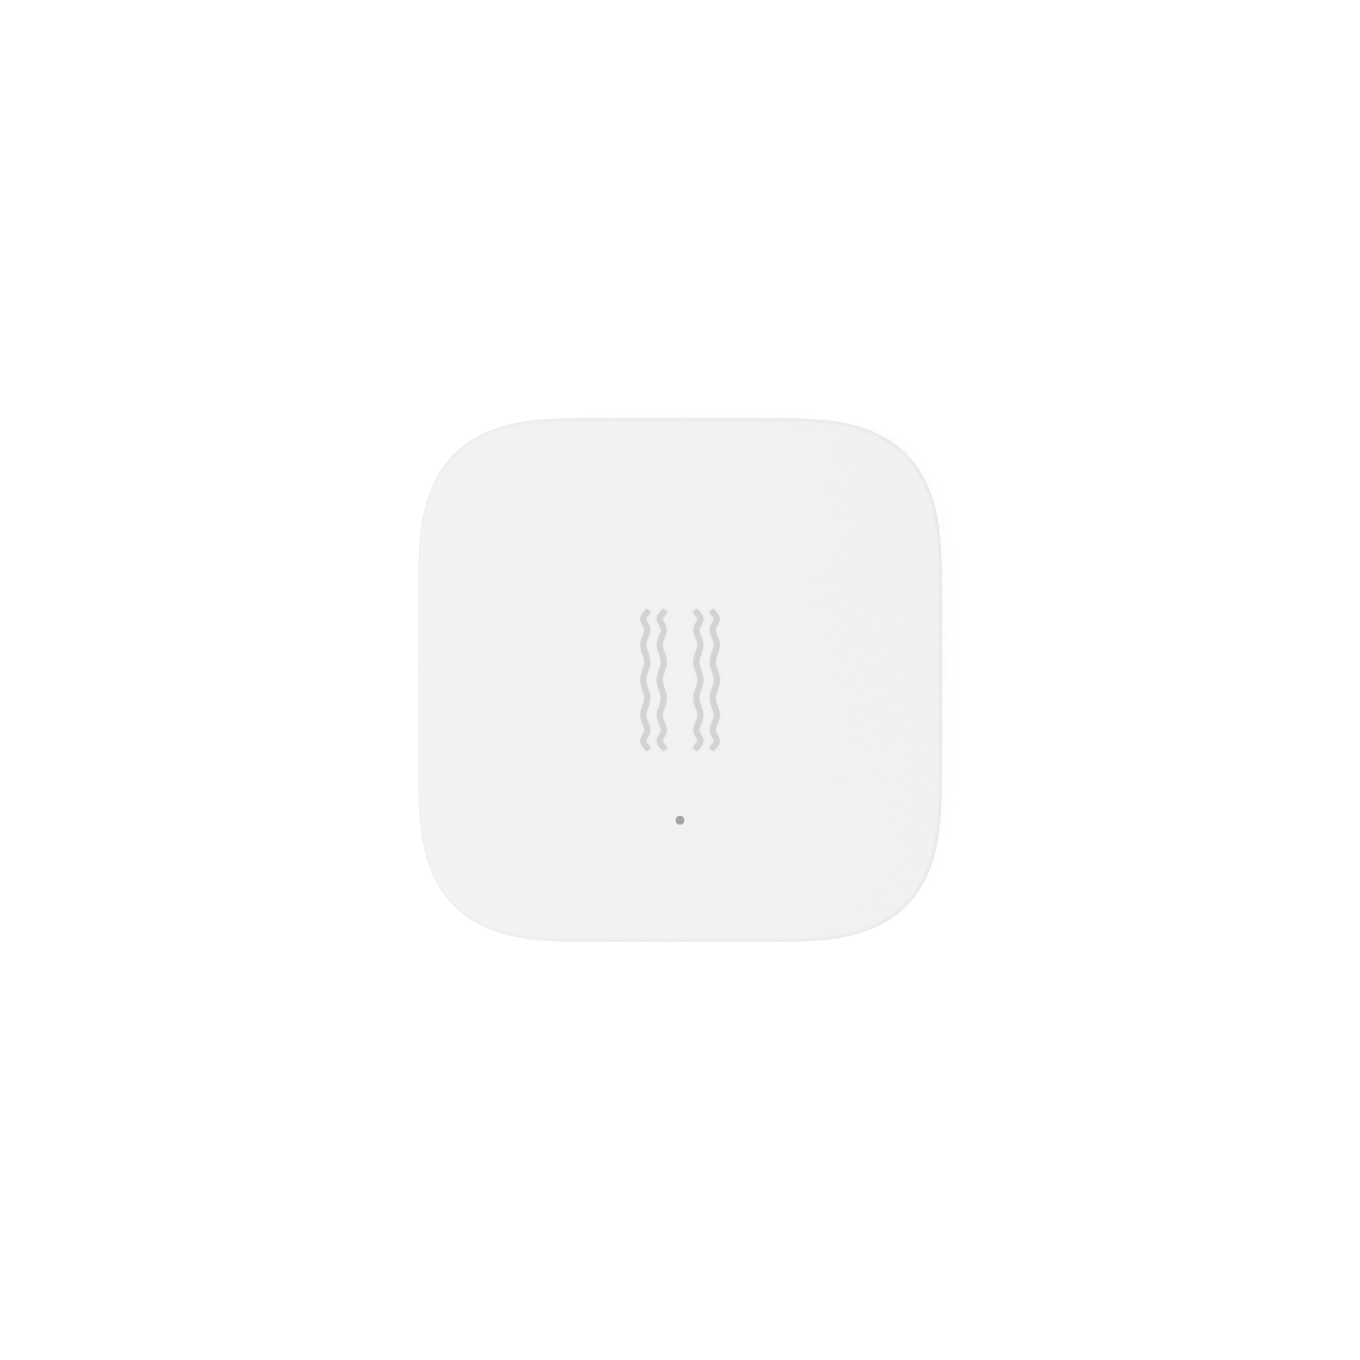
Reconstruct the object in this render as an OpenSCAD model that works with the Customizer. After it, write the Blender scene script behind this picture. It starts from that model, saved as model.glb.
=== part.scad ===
// Vibration sensor tag: a small rounded-square sensor that sticks to a door, window or machine.
// The front face looks up (+Z), the adhesive face lies on z = 0, and the face's top edge is towards +Y.

/* [Housing] */
// Room between the battery cover's socket and the edge of the base
edge_room = 2.9; // [2.6:0.1:6]
// Room for the parts between the circuit board and the front wall
part_room = 1.35; // [1.1:0.05:3]
// Length along each side that a rounded corner takes up
corner_reach = 11.5; // [9:0.1:12]
// Power of the corner curve, where 2 is a quarter circle and more is squarer
corner_power = 2.9; // [2.2:0.1:3.6]
// Radius of the edge around the front face
edge_round = 0.3; // [0.2:0.1:1]
// Radius of the edge around the open back of the shell
skirt_round = 0.3; // [0.1:0.1:0.5]
// Thickness of the shell's side wall
shell_wall = 1.2; // [1.1:0.1:1.4]
// Thickness of the shell's front wall
face_wall = 1.2; // [0.8:0.1:1.3]
// Gap between the base and the shell around it
seam_gap = 0.1; // [0.05:0.05:0.2]

/* [Front face] */
// Distance from the middle to the inner pair of wavy lines
wave_inner = 1.26; // [1:0.01:1.4]
// Distance from the middle to the outer pair of wavy lines
wave_outer = 2.39; // [2.1:0.01:3]
// Half height towards which the waves crowd together
wave_rise = 4.89; // [4:0.01:6]
// Turn that one half wave takes of the crowding sine, in degrees
wave_turn = 14.8; // [12:0.1:16]
// Half waves on each side of the middle
wave_count = 4.7; // [3.8:0.1:4.8]
// Length of the straight piece at each end of a line
wave_tail = 0.26; // [0.1:0.02:0.4]
// Sideways swing of a line from its middle
wave_swing = 0.14; // [0.08:0.01:0.2]
// Width of a printed line
wave_stroke = 0.4; // [0.2:0.01:0.4]
// Thickness of the printed ink
ink_t = 0.03; // [0.02:0.01:0.05]
// Distance of the indicator light below the middle of the face
light_drop = 9.64; // [7:0.02:11]
// Diameter of the indicator light in the front face
light_d = 0.58; // [0.4:0.02:1]

/* [Coin cell] */
// Diameter of the coin cell
cell_d = 20; // [19.6:0.1:20.2]
// Thickness of the coin cell
cell_h = 3.2; // [2.5:0.1:3.2]
// Width of the can's rolled rim around the negative cap
can_rim = 0.8; // [0.5:0.1:1.4]
// Step from the can's rim up to the negative cap
cap_step = 0.2; // [0.1:0.05:0.4]
// Width of the plastic ring between cap and can
gasket_w = 0.3; // [0.2:0.05:0.4]
// Depth of the cap and its ring inside the can
cap_depth = 1.4; // [0.8:0.1:1.6]
// Radius of the can's edges
can_round = 0.3; // [0.1:0.05:0.4]

/* [Battery cover] */
// Thickness of the cover under the coin cell
cover_floor = 1.2; // [1.1:0.1:1.4]
// Thickness of the cover's rim
flange_t = 0.8; // [0.6:0.1:0.9]
// Thickness of the rubber ring on the cover's rim
seal_t = 0.4; // [0.3:0.1:0.5]
// Wall of the cover's collar
collar_wall = 1; // [0.8:0.1:1.1]
// Gap between the coin cell and the cover's collar
collar_gap = 0.4; // [0.2:0.1:0.5]
// How far a lug stands out from the collar
lug_len = 1.1; // [0.8:0.1:1.2]
// Thickness of a lug
lug_t = 0.7; // [0.5:0.1:0.8]
// Angle that a lug covers
lug_angle = 20; // [14:1:24]
// Turn that frees the cover
cover_turn = 60; // [50:1:66]
// Distance that the cover screws out over that turn
cover_lift = 0.7; // [0.4:0.05:0.8]
// Thickness of the ledge under a lug when the cover is locked
ledge_t = 0.9; // [0.8:0.1:1]
// Gap around the turning cover
turn_gap = 0.1; // [0.05:0.05:0.15]
// Gap between a lug and the ledge that holds it
lug_gap = 0.1; // [0.05:0.05:0.15]
// Width of the coin slot
slot_w = 1.8; // [1.4:0.1:2.4]
// Depth of the coin slot
slot_depth = 0.7; // [0.4:0.1:0.8]
// Radius of the coin that shapes the slot
coin_r = 12; // [9:0.5:14]

/* [Base and pad] */
// Thickness of the base plate
base_t = 1.2; // [1:0.1:1.4]
// Wall outside the battery cover's socket
socket_wall = 1.2; // [1:0.1:1.4]
// Roof over the battery cover's lugs
socket_roof = 0.4; // [0.3:0.05:0.45]
// Wall that keeps the coin cell in place
cell_wall = 0.8; // [0.6:0.1:0.9]
// Gap between the coin cell and that wall
cell_gap = 0.3; // [0.2:0.05:0.4]
// How far the cell stands out of that wall
cell_proud = 0.3; // [0.3:0.1:0.8]
// Gap between the coin cell and the cover under it
cell_rest = 0.05; // [0:0.01:0.1]
// Thickness of the foam adhesive pad
pad_t = 0.8; // [0.6:0.1:1]
// Depth of the pad's pocket in the base
pad_pocket = 0.3; // [0.2:0.05:0.4]
// Rim of the base left bare outside the pad
pad_margin = 0.6; // [0.4:0.1:0.8]
// Rim of the base left bare between the cover and the pad
pad_clear = 1.2; // [1:0.1:1.4]
// Gap around the pad in its pocket
pad_fit = 0.1; // [0.05:0.05:0.15]
// Thickness of a snap arm
arm_t = 0.9; // [0.7:0.1:1]
// How far a snap hook stands out of its arm
hook_len = 0.55; // [0.4:0.05:0.6]
// Height of a snap hook
hook_h = 0.7; // [0.5:0.1:0.8]
// Height of a snap hook's underside above the base plate
hook_rise = 1.8; // [1.4:0.1:2]
// Gap around a snap hook in its pocket
hook_gap = 0.06; // [0.04:0.01:0.1]

/* [Circuit board] */
// Thickness of the circuit board
board_t = 0.8; // [0.6:0.1:0.9]
// Gap between the board and the shell's side wall
board_gap = 0.5; // [0.4:0.1:0.8]
// Room for the negative contact between cell and board
contact_room = 0.7; // [0.65:0.05:0.8]
// Sheet thickness of the battery contacts
contact_t = 0.2; // [0.15:0.01:0.25]
// Radius of a screw's shank
screw_r = 0.65; // [0.5:0.05:0.7]
// Radius of a screw's head
screw_head_r = 1.2; // [1:0.1:1.4]
// Height of a screw's head
screw_head_h = 0.7; // [0.5:0.1:0.8]
// Radius of a screw boss
boss_r = 1.7; // [1.5:0.1:2]
// Depth of a screw's hole inside the front wall
boss_sink = 0.4; // [0.2:0.1:0.5]
// Gap between a screw and the plastic around it
screw_gap = 0.05; // [0.02:0.01:0.1]

/* [Reset button] */
// Radius of the button in the side wall
button_r = 1.5; // [1.2:0.1:1.8]
// Gap between the button and its bore
button_gap = 0.06; // [0.03:0.01:0.1]
// How far the button's face lies inside the side wall
button_sunk = 0.1; // [0.05:0.05:0.3]
// Length of the guide inside the side wall
guide_len = 0.8; // [0.6:0.1:1]
// Wall of the guide
guide_wall = 0.7; // [0.6:0.1:0.9]
// Step from the button to the flange that keeps it in
flange_step = 0.5; // [0.4:0.1:0.7]
// Thickness of that flange
button_flange_t = 0.5; // [0.4:0.1:0.6]
// Travel of the button and the switch
press = 0.25; // [0.1:0.05:0.3]
// Width of the side switch
switch_w = 4.5; // [4:0.1:5]
// Depth of the side switch
switch_d = 2.4; // [2.2:0.1:2.5]
// Height of the side switch
switch_h = 1.5; // [1.4:0.05:1.55]

/* [Hidden] */
$fn = 64;

// Colours
white_plastic = [0.93, 0.93, 0.93];
grey_ink = [0.82, 0.82, 0.82];
clear_plastic = [0.63, 0.63, 0.64];
rubber_grey = [0.35, 0.36, 0.37];
foam_grey = [0.72, 0.73, 0.74];
steel = [0.76, 0.76, 0.77];
nickel = [0.80, 0.78, 0.73];
copper = [0.80, 0.55, 0.32];
board_green = [0.06, 0.30, 0.17];
chip_black = [0.09, 0.09, 0.10];
ceramic_tan = [0.62, 0.50, 0.38];
tantalum_yellow = [0.84, 0.62, 0.20];

// Small amount by which a cut runs past a face, or a joined shape sinks into its neighbour
past = 0.2;
// Points on each corner of the outline, rings in the front edge, and angle between a ramp's points
corner_steps = 20;
round_steps = 5;
ramp_step = 4;

// Levels, from the adhesive face up
back_z = pad_t - pad_pocket;
plate_z = back_z + base_t;
cell_z = back_z + cover_floor + cell_rest;
cell_top = cell_z + cell_h;
board_z = cell_top + contact_room;
board_top = board_z + board_t;
ceiling_z = board_top + part_room;
tag_h = ceiling_z + face_wall;
rim_z = back_z + flange_t;
ledge_z = rim_z + seal_t;
ramp_z = ledge_z + ledge_t;
lug_top = ramp_z + lug_gap + lug_t;
roof_z = lug_top + lug_gap;
socket_top = roof_z + socket_roof;
hook_z = plate_z + hook_rise;
button_z = board_z - switch_h / 2;

// Radii around the coin cell
cell_r = cell_d / 2;
cap_r = cell_r - can_rim - gasket_w;
collar_in = cell_r + collar_gap;
collar_r = collar_in + collar_wall;
ledge_r = collar_r + turn_gap;
lug_r = collar_r + lug_len;
socket_r = lug_r + turn_gap;
rim_r = socket_r - turn_gap;
socket_out = socket_r + socket_wall;
seal_in = ledge_r;
pad_hole_r = socket_r + pad_clear;

// Insets of the outline
base_inset = shell_wall + seam_gap;
half = socket_out + edge_room + base_inset;
board_inset = shell_wall + board_gap;
pad_inset = base_inset + pad_margin;

// Battery cover's lugs, with the room around each in its entry slot
lug_count = 3;
lug_pitch = 360 / lug_count;
lug_room = 2;
slot_angle = lug_angle + 2 * lug_room;
ramp_rate = cover_lift / cover_turn;
ledge_from = slot_angle / 2 - cover_turn;
ledge_to = ledge_from + lug_pitch - slot_angle;
stop_from = lug_angle / 2 + lug_room;
stop_back = 0.1;

// Marks beside the cover: a pointer on it, one dot where it is locked and two where it comes free
mark_angle = 90;
mark_depth = 0.2;
dot_r = 0.3;
dot_turn = 4;
dot_ring = (socket_r + pad_hole_r - pad_fit) / 2;
pointer_len = 1.6;
pointer_w = 1.8;
pointer_edge = 0.6;

// Snap hooks, each with the side that it is on, its place along that side and its width
hooks = [[0, 0, 5], [180, 0, 5], [270, 0, 5], [90, 5, 2.4], [90, -5, 2.4]];

// Button and side switch, from the side wall inwards
touch_gap = 0.05;
guide_y = half - shell_wall - guide_len;
flange_y = guide_y - touch_gap;
flange_back = flange_y - button_flange_t;
button_flange_r = button_r + flange_step;
button_chamfer = 0.15;
plunger_tip = flange_back - touch_gap;
plunger_out = 1.2;
switch_y = plunger_tip - plunger_out;
plate_t = 0.15;
switch_front = 0.5;
shoulder_t = 0.5;
dome_room = 0.6;
dome_t = 0.08;
stem_w = 1.4;
stem_h = 0.8;
shoulder_w = 2.2;
chamber_w = 2.6;
chamber_end = switch_y - switch_front - shoulder_t - dome_room;
notch_gap = 0.4;

// Screws
screw_hole_r = screw_r + screw_gap;
board_hole_gap = 0.15;
board_hole_r = screw_r + board_hole_gap;
screw_end_gap = 0.1;
screw_tip = ceiling_z + boss_sink - screw_end_gap;
cross_w = 0.35;
cross_len = 1.3;
cross_depth = 0.35;
screw_edge = 7;
screw_low_edge = 4.8;
screw_side = half - screw_edge;
screw_low = half - screw_low_edge;
screw_places = [[-screw_side, screw_side], [screw_side, screw_side], [0, -screw_low]];

// Places of the parts on the front of the board, with their lengths, widths and heights
mcu_place = [-4.6, 3.6];
mcu_size = [6, 6, 0.85];
motion_place = [5.2, 3.2];
motion_size = [3, 2.5, 0.9];
crystal_place = [-4.6, -2.6];
crystal_size = [3.2, 2.5, 0.65];
clock_place = [-10.4, 3.6];
clock_size = [1.5, 3.2, 0.75];
led_size = [1.6, 0.8, 0.5];
chip_size = [1, 0.5, 0.5];
resistor_h = 0.35;
lid_step = 0.2;
tray_share = 0.7;
capacitors_along_x = [[-7.4, -5.2], [-1.4, -5.2], [5.2, 0.6]];
capacitors_along_y = [[-9.6, 0], [-8.6, -3], [0.4, 1.4], [0.4, 3.4], [0.4, 5.4], [8, 3.2]];
resistors_along_x = [[2.8, 7.6], [4.6, 7.6], [-6.6, 8.6], [-4.8, 8.6], [-3, 8.6]];
resistors_along_y = [[2.6, -light_drop]];
bulk_edge = [7.4, 8.6];
bulk_place = [half - bulk_edge[0], bulk_edge[1] - half];
bulk_size = [3.2, 1.6, 1.5];
dimple_r = 0.25;
dimple_in = 0.7;
dimple_depth = 0.08;

// Antenna: a copper trace in close turns along the right edge of the board
trace_t = 0.05;
trace_w = 0.5;
trace_pitch = 1.2;
trace_turns = 10;
trace_reach = 3;
antenna_edge = 6.2;
antenna_low = 6.2;
antenna_place = [half - antenna_edge, -antenna_low];
feed_len = 2.4;

// Negative contact: a bowed leaf under the board
leaf_w = 3;
leaf_foot = 1.4;
leaf_slope = 2.6;
leaf_flat = 1.6;
leaf_gap = 0.03;

// Positive contact: a bent strip beside the can
strip_w = 4;
strip_foot = 2;
strip_low = 1.4;
strip_bulge = 0.45;
window_w = 5;

// Light pipe
pipe_r = 0.8;
pipe_gap = 0.02;
pipe_lift = 0.05;

// Outline of the tag, pulled in square to itself
function corner_point(t, inset) =
    let (curve = [pow(cos(t), 2 / corner_power), pow(sin(t), 2 / corner_power)],
         slope = [pow(curve[0], corner_power - 1), pow(curve[1], corner_power - 1)],
         middle = half - corner_reach)
    [middle, middle] + corner_reach * curve - inset * slope / norm(slope);

function quarter_turn(p, n) = n == 0 ? p : quarter_turn([-p[1], p[0]], n - 1);

function outline(inset = 0) = [
    for (n = [0:3]) for (i = [0:corner_steps]) quarter_turn(corner_point(90 * i / corner_steps, inset), n)
];

module slab(inset, low, high) {
    translate([0, 0, low]) linear_extrude(high - low) polygon(outline(inset));
}

// Solid through a stack of outlines, each given as its inset and its level
module loft(rings) {
    count = len(outline());
    top = count * (len(rings) - 1);
    points = [for (ring = rings) for (p = outline(ring[0])) [p[0], p[1], ring[1]]];
    walls = [
        for (k = [0:len(rings) - 2]) for (i = [0:count - 1])
            let (a = k * count + i, b = k * count + (i + 1) % count)
            each [[a, a + count, b + count], [a, b + count, b]]
    ];
    floor_face = [for (i = [0:count - 1]) i];
    roof_face = [for (i = [count - 1:-1:0]) top + i];
    polyhedron(points, concat([floor_face, roof_face], walls));
}

// Ring segment whose under and upper levels each run evenly from its first angle to its last
module ramp(r_in, r_out, from, to, low, high) {
    steps = ceil((to - from) / ramp_step);
    points = [
        for (i = [0:steps])
            let (t = i / steps, a = from + (to - from) * t,
                 z0 = low[0] + (low[1] - low[0]) * t, z1 = high[0] + (high[1] - high[0]) * t)
            each [[r_in * cos(a), r_in * sin(a), z0], [r_out * cos(a), r_out * sin(a), z0],
                  [r_out * cos(a), r_out * sin(a), z1], [r_in * cos(a), r_in * sin(a), z1]]
    ];
    sides = [
        for (i = [0:steps - 1]) for (k = [0:3])
            let (a = 4 * i + k, b = 4 * i + (k + 1) % 4)
            each [[a, b, b + 4], [a, b + 4, a + 4]]
    ];
    polyhedron(points, concat([[0, 3, 2, 1], [for (k = [0:3]) 4 * steps + k]], sides));
}

// Round ring segment with level faces
module segment(r_in, r_out, from, to, low, high) {
    rotate([0, 0, from]) translate([0, 0, low]) rotate_extrude(angle = to - from)
        translate([r_in, 0]) square([r_out - r_in, high - low]);
}

// Block that stands on a level, centred on a place
module block(place, size, low) {
    translate([place[0] - size[0] / 2, place[1] - size[1] / 2, low]) cube(size);
}

// Front shell
module shell_rings() {
    front_edge = [
        for (i = [0:round_steps]) let (a = 90 * i / round_steps)
            [edge_round * (1 - cos(a)), tag_h - edge_round * (1 - sin(a))]
    ];
    loft(concat([[skirt_round, back_z], [0, back_z + skirt_round]], front_edge));
}

module along_side(side) {
    rotate([0, 0, side]) children();
}

module hook_pockets() {
    depth = hook_len - seam_gap + hook_gap;
    for (h = hooks) along_side(h[0])
        translate([half - shell_wall - past, h[1] - h[2] / 2 - hook_gap, hook_z - hook_gap])
            cube([depth + past, h[2] + 2 * hook_gap, hook_h + 2 * hook_gap]);
}

module button_bore(radius, low, high) {
    translate([0, low, button_z]) rotate([-90, 0, 0]) cylinder(r = radius, h = high - low);
}

module front_shell() {
    color(white_plastic) difference() {
        union() {
            difference() {
                shell_rings();
                slab(shell_wall, back_z - past, ceiling_z);
            }
            for (p = screw_places) translate([p[0], p[1], board_top])
                cylinder(r = boss_r, h = ceiling_z - board_top + past);
            button_bore(button_r + button_gap + guide_wall, guide_y, half - shell_wall + past);
        }
        for (p = screw_places) translate([p[0], p[1], board_top - past])
            cylinder(r = screw_hole_r, h = ceiling_z + boss_sink - board_top + past);
        button_bore(button_r + button_gap, guide_y - past, half + past);
        translate([0, -light_drop, ceiling_z - past])
            cylinder(r = light_d / 2 + pipe_gap, h = face_wall + 2 * past);
        hook_pockets();
    }
}

// Printed vibration mark: wavy lines that crowd together towards both ends and run out straight
function wave_along(u) =
    let (along = [wave_swing * PI * sin(180 * u), wave_rise * wave_turn * PI / 180 * cos(wave_turn * u)])
    along / norm(along);

function wave_side(u) = let (along = wave_along(u)) [along[1], -along[0]] * wave_stroke / 2;

function wave_middle(u, x, tail) =
    [x - wave_swing * cos(180 * u), wave_rise * sin(wave_turn * u)] + tail * wave_along(u);

function wave_line(x, steps = 48) =
    let (waves = [for (i = [0:steps]) [wave_count * (2 * i / steps - 1), 0]],
         path = concat([[-wave_count, -wave_tail]], waves, [[wave_count, wave_tail]]),
         back = [for (i = [len(path) - 1:-1:0]) path[i]])
    concat([for (p = path) wave_middle(p[0], x, p[1]) + wave_side(p[0])],
           [for (p = back) wave_middle(p[0], x, p[1]) - wave_side(p[0])]);

module vibration_mark() {
    color(grey_ink) translate([0, 0, tag_h]) linear_extrude(ink_t)
        for (flip = [0, 1]) mirror([flip, 0])
            for (x = [wave_inner, wave_outer]) polygon(wave_line(-x));
}

module light_pipe() {
    foot = board_top + led_size[2] + pipe_lift;
    color(clear_plastic) translate([0, -light_drop, 0]) {
        translate([0, 0, foot]) cylinder(r = pipe_r, h = ceiling_z - foot);
        translate([0, 0, foot]) cylinder(r = light_d / 2, h = tag_h - foot);
    }
}

// Reset button in the upper side wall, with the flange that keeps it in
module reset_button() {
    face = half - button_sunk;
    color(white_plastic) translate([0, 0, button_z]) rotate([-90, 0, 0]) rotate_extrude()
        polygon([
            [0, flange_back], [button_flange_r, flange_back], [button_flange_r, flange_y],
            [button_r, flange_y], [button_r, face - button_chamfer], [button_r - button_chamfer, face],
            [0, face]
        ]);
}

// Base: plate, socket for the battery cover, wall around the cell, and snap arms
module ledges() {
    sunk = socket_r + socket_wall / 2;
    for (n = [0:lug_count - 1]) rotate([0, 0, n * lug_pitch]) {
        ramp(ledge_r, sunk, ledge_from, ledge_to, [ledge_z, ledge_z],
             [ramp_z + ramp_rate * ledge_from, ramp_z + ramp_rate * ledge_to]);
        segment(ledge_r + stop_back, sunk + stop_back, stop_from, ledge_to - lug_room,
                ramp_z, roof_z + socket_roof / 2);
    }
}

module snap_arms() {
    edge = half - base_inset;
    for (h = hooks) along_side(h[0]) translate([0, h[1] - h[2] / 2, 0]) {
        translate([edge - arm_t, 0, plate_z - past]) cube([arm_t, h[2], hook_z + hook_h - plate_z + past]);
        translate([edge, h[2], hook_z]) rotate([90, 0, 0]) linear_extrude(h[2])
            polygon([[-past, 0], [hook_len - hook_gap, 0], [0, hook_h], [-past, hook_h]]);
    }
}

module lock_dots() {
    free_angle = mark_angle - cover_turn;
    for (a = [mark_angle, free_angle - dot_turn / 2, free_angle + dot_turn / 2]) rotate([0, 0, a])
        translate([dot_ring, 0, back_z - past]) cylinder(r = dot_r, h = mark_depth + past);
}

module pad_pocket_cut() {
    difference() {
        slab(pad_inset - pad_fit, back_z - past, back_z + pad_pocket);
        translate([0, 0, back_z - 2 * past]) cylinder(r = pad_hole_r - pad_fit, h = pad_pocket + 3 * past);
    }
}

module rear_base() {
    color(white_plastic) difference() {
        union() {
            difference() {
                union() {
                    slab(base_inset, back_z, plate_z);
                    translate([0, 0, back_z]) cylinder(r = socket_out, h = socket_top - back_z);
                    translate([0, 0, back_z])
                        cylinder(r = cell_r + cell_gap + cell_wall, h = cell_top - cell_proud - back_z);
                }
                translate([0, 0, back_z - past]) cylinder(r = socket_r, h = roof_z - back_z + past);
                translate([0, 0, back_z - past]) cylinder(r = cell_r + cell_gap, h = cell_top - back_z);
            }
            ledges();
            snap_arms();
        }
        pad_pocket_cut();
        lock_dots();
        block([-cell_r - cell_gap, 0], [4 * cell_wall, window_w, cell_h], socket_top);
    }
}

module adhesive_pad() {
    color(foam_grey) difference() {
        slab(pad_inset, 0, pad_t);
        translate([0, 0, -past]) cylinder(r = pad_hole_r, h = pad_t + 2 * past);
    }
}

// Battery cover: a cup with a coin slot, a collar and three lugs that screw out along the ledges
module coin_slot() {
    translate([0, slot_w / 2, back_z + slot_depth - coin_r]) rotate([90, 0, 0])
        cylinder(r = coin_r, h = slot_w);
}

module cover_pointer() {
    tip = rim_r - pointer_edge;
    rotate([0, 0, mark_angle]) translate([0, 0, back_z - past]) linear_extrude(mark_depth + past)
        polygon([[tip, 0], [tip - pointer_len, pointer_w / 2], [tip - pointer_len, -pointer_w / 2]]);
}

module battery_cover() {
    reach = lug_angle / 2;
    under = ramp_z + lug_gap;
    color(white_plastic) {
        difference() {
            rotate_extrude() polygon([
                [0, back_z], [rim_r, back_z], [rim_r, rim_z], [collar_r, rim_z], [collar_r, lug_top],
                [collar_in, lug_top], [collar_in, back_z + cover_floor], [0, back_z + cover_floor]
            ]);
            coin_slot();
            cover_pointer();
        }
        for (n = [0:lug_count - 1]) rotate([0, 0, n * lug_pitch])
            ramp(collar_r - collar_wall / 2, lug_r, -reach, reach,
                 [under - ramp_rate * reach, under + ramp_rate * reach], [lug_top, lug_top]);
    }
}

module cover_seal() {
    color(rubber_grey) translate([0, 0, rim_z]) difference() {
        cylinder(r = rim_r, h = seal_t);
        translate([0, 0, -past]) cylinder(r = seal_in, h = seal_t + 2 * past);
    }
}

// Coin cell: can below, negative cap above, and the plastic ring between them
module coin_cell_can() {
    pocket = cap_r + gasket_w;
    rim = cell_h - cap_step;
    arc = [for (i = [0:round_steps]) 90 * i / round_steps];
    color(steel) translate([0, 0, cell_z]) rotate_extrude() polygon(concat(
        [[0, 0]],
        [for (a = arc) [cell_r - can_round * (1 - sin(a)), can_round * (1 - cos(a))]],
        [for (a = arc) [cell_r - can_round * (1 - cos(a)), rim - can_round * (1 - sin(a))]],
        [[pocket, rim], [pocket, rim - cap_depth], [0, rim - cap_depth]]
    ));
}

module coin_cell_gasket() {
    rim = cell_h - cap_step;
    color(chip_black) translate([0, 0, cell_z + rim - cap_depth]) difference() {
        cylinder(r = cap_r + gasket_w, h = cap_depth);
        translate([0, 0, -past]) cylinder(r = cap_r, h = cap_depth + 2 * past);
    }
}

module coin_cell_cap() {
    low = cell_z + cell_h - cap_step - cap_depth;
    color(steel) translate([0, 0, low]) rotate_extrude() polygon([
        [0, 0], [cap_r, 0], [cap_r, cap_depth], [cap_r - cap_step, cap_depth + cap_step],
        [0, cap_depth + cap_step]
    ]);
}

// Battery contacts, both soldered under the board
function strip(path, shift) = concat(path, [for (i = [len(path) - 1:-1:0]) path[i] + shift]);

module negative_contact() {
    up = board_z - contact_t;
    down = cell_top + leaf_gap;
    inner = leaf_flat / 2;
    outer = inner + leaf_slope;
    foot = outer + leaf_foot;
    color(nickel) translate([0, leaf_w / 2, 0]) rotate([90, 0, 0]) linear_extrude(leaf_w) polygon(strip(
        [[-foot, up], [-outer, up], [-inner, down], [inner, down], [outer, up], [foot, up]], [0, contact_t]
    ));
}

module positive_contact() {
    up = board_z - contact_t;
    low = board_z - strip_low;
    face = -cell_r - leaf_gap - contact_t;
    back = face - strip_bulge;
    bend = low + 2 * strip_bulge;
    color(nickel) translate([0, strip_w / 2, 0]) rotate([90, 0, 0]) linear_extrude(strip_w) polygon([
        [back - strip_foot, up], [back, up], [back, bend], [face, low + strip_bulge], [back, low],
        [back + contact_t, low], [face + contact_t, low + strip_bulge], [back + contact_t, bend],
        [back + contact_t, board_z], [back - strip_foot, board_z]
    ]);
}

// Circuit board, its screws and its parts
module circuit_board() {
    notch_w = 2 * (button_flange_r + notch_gap);
    notch_y = flange_back - press - notch_gap;
    color(board_green) difference() {
        slab(board_inset, board_z, board_top);
        for (p = screw_places) translate([p[0], p[1], board_z - past])
            cylinder(r = board_hole_r, h = board_t + 2 * past);
        translate([-notch_w / 2, notch_y, board_z - past])
            cube([notch_w, half - notch_y, board_t + 2 * past]);
    }
}

module board_screws() {
    color(steel) for (p = screw_places) translate([p[0], p[1], 0]) difference() {
        union() {
            translate([0, 0, board_z - screw_head_h]) cylinder(r = screw_head_r, h = screw_head_h);
            translate([0, 0, board_z - past]) cylinder(r = screw_r, h = screw_tip - board_z + past);
        }
        for (turn = [0, 90]) rotate([0, 0, turn])
            block([0, 0], [cross_len, cross_w, cross_depth + past], board_z - screw_head_h - past);
    }
}

// Moulded package with a dimple at its first terminal
module package(place, size) {
    color(chip_black) difference() {
        block(place, size, board_top);
        translate([place[0] - size[0] / 2 + dimple_in, place[1] + size[1] / 2 - dimple_in,
                   board_top + size[2] - dimple_depth])
            cylinder(r = dimple_r, h = dimple_depth + past);
    }
}

module radio_microcontroller() {
    package(mcu_place, mcu_size);
}

module accelerometer() {
    package(motion_place, motion_size);
}

// Crystal: ceramic tray with a narrower metal lid
module crystal(place, size) {
    lid = [size[0] - 2 * lid_step, size[1] - 2 * lid_step, size[2]];
    color(nickel) {
        block(place, [size[0], size[1], size[2] * tray_share], board_top);
        block(place, lid, board_top);
    }
}

module radio_crystal() {
    crystal(crystal_place, crystal_size);
}

module clock_crystal() {
    crystal(clock_place, clock_size);
}

module antenna_trace() {
    color(copper) translate([antenna_place[0], antenna_place[1], board_top]) {
        for (n = [0:trace_turns]) translate([0, n * trace_pitch, 0]) cube([trace_reach, trace_w, trace_t]);
        for (n = [0:trace_turns - 1]) {
            side = n % 2 == 0 ? trace_reach - trace_w : 0;
            translate([side, n * trace_pitch, 0]) cube([trace_w, trace_pitch + trace_w, trace_t]);
        }
        translate([-feed_len, 0, 0]) cube([feed_len + trace_w, trace_w, trace_t]);
    }
}

module indicator_led() {
    color(clear_plastic) block([0, -light_drop], led_size, board_top);
}

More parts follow.
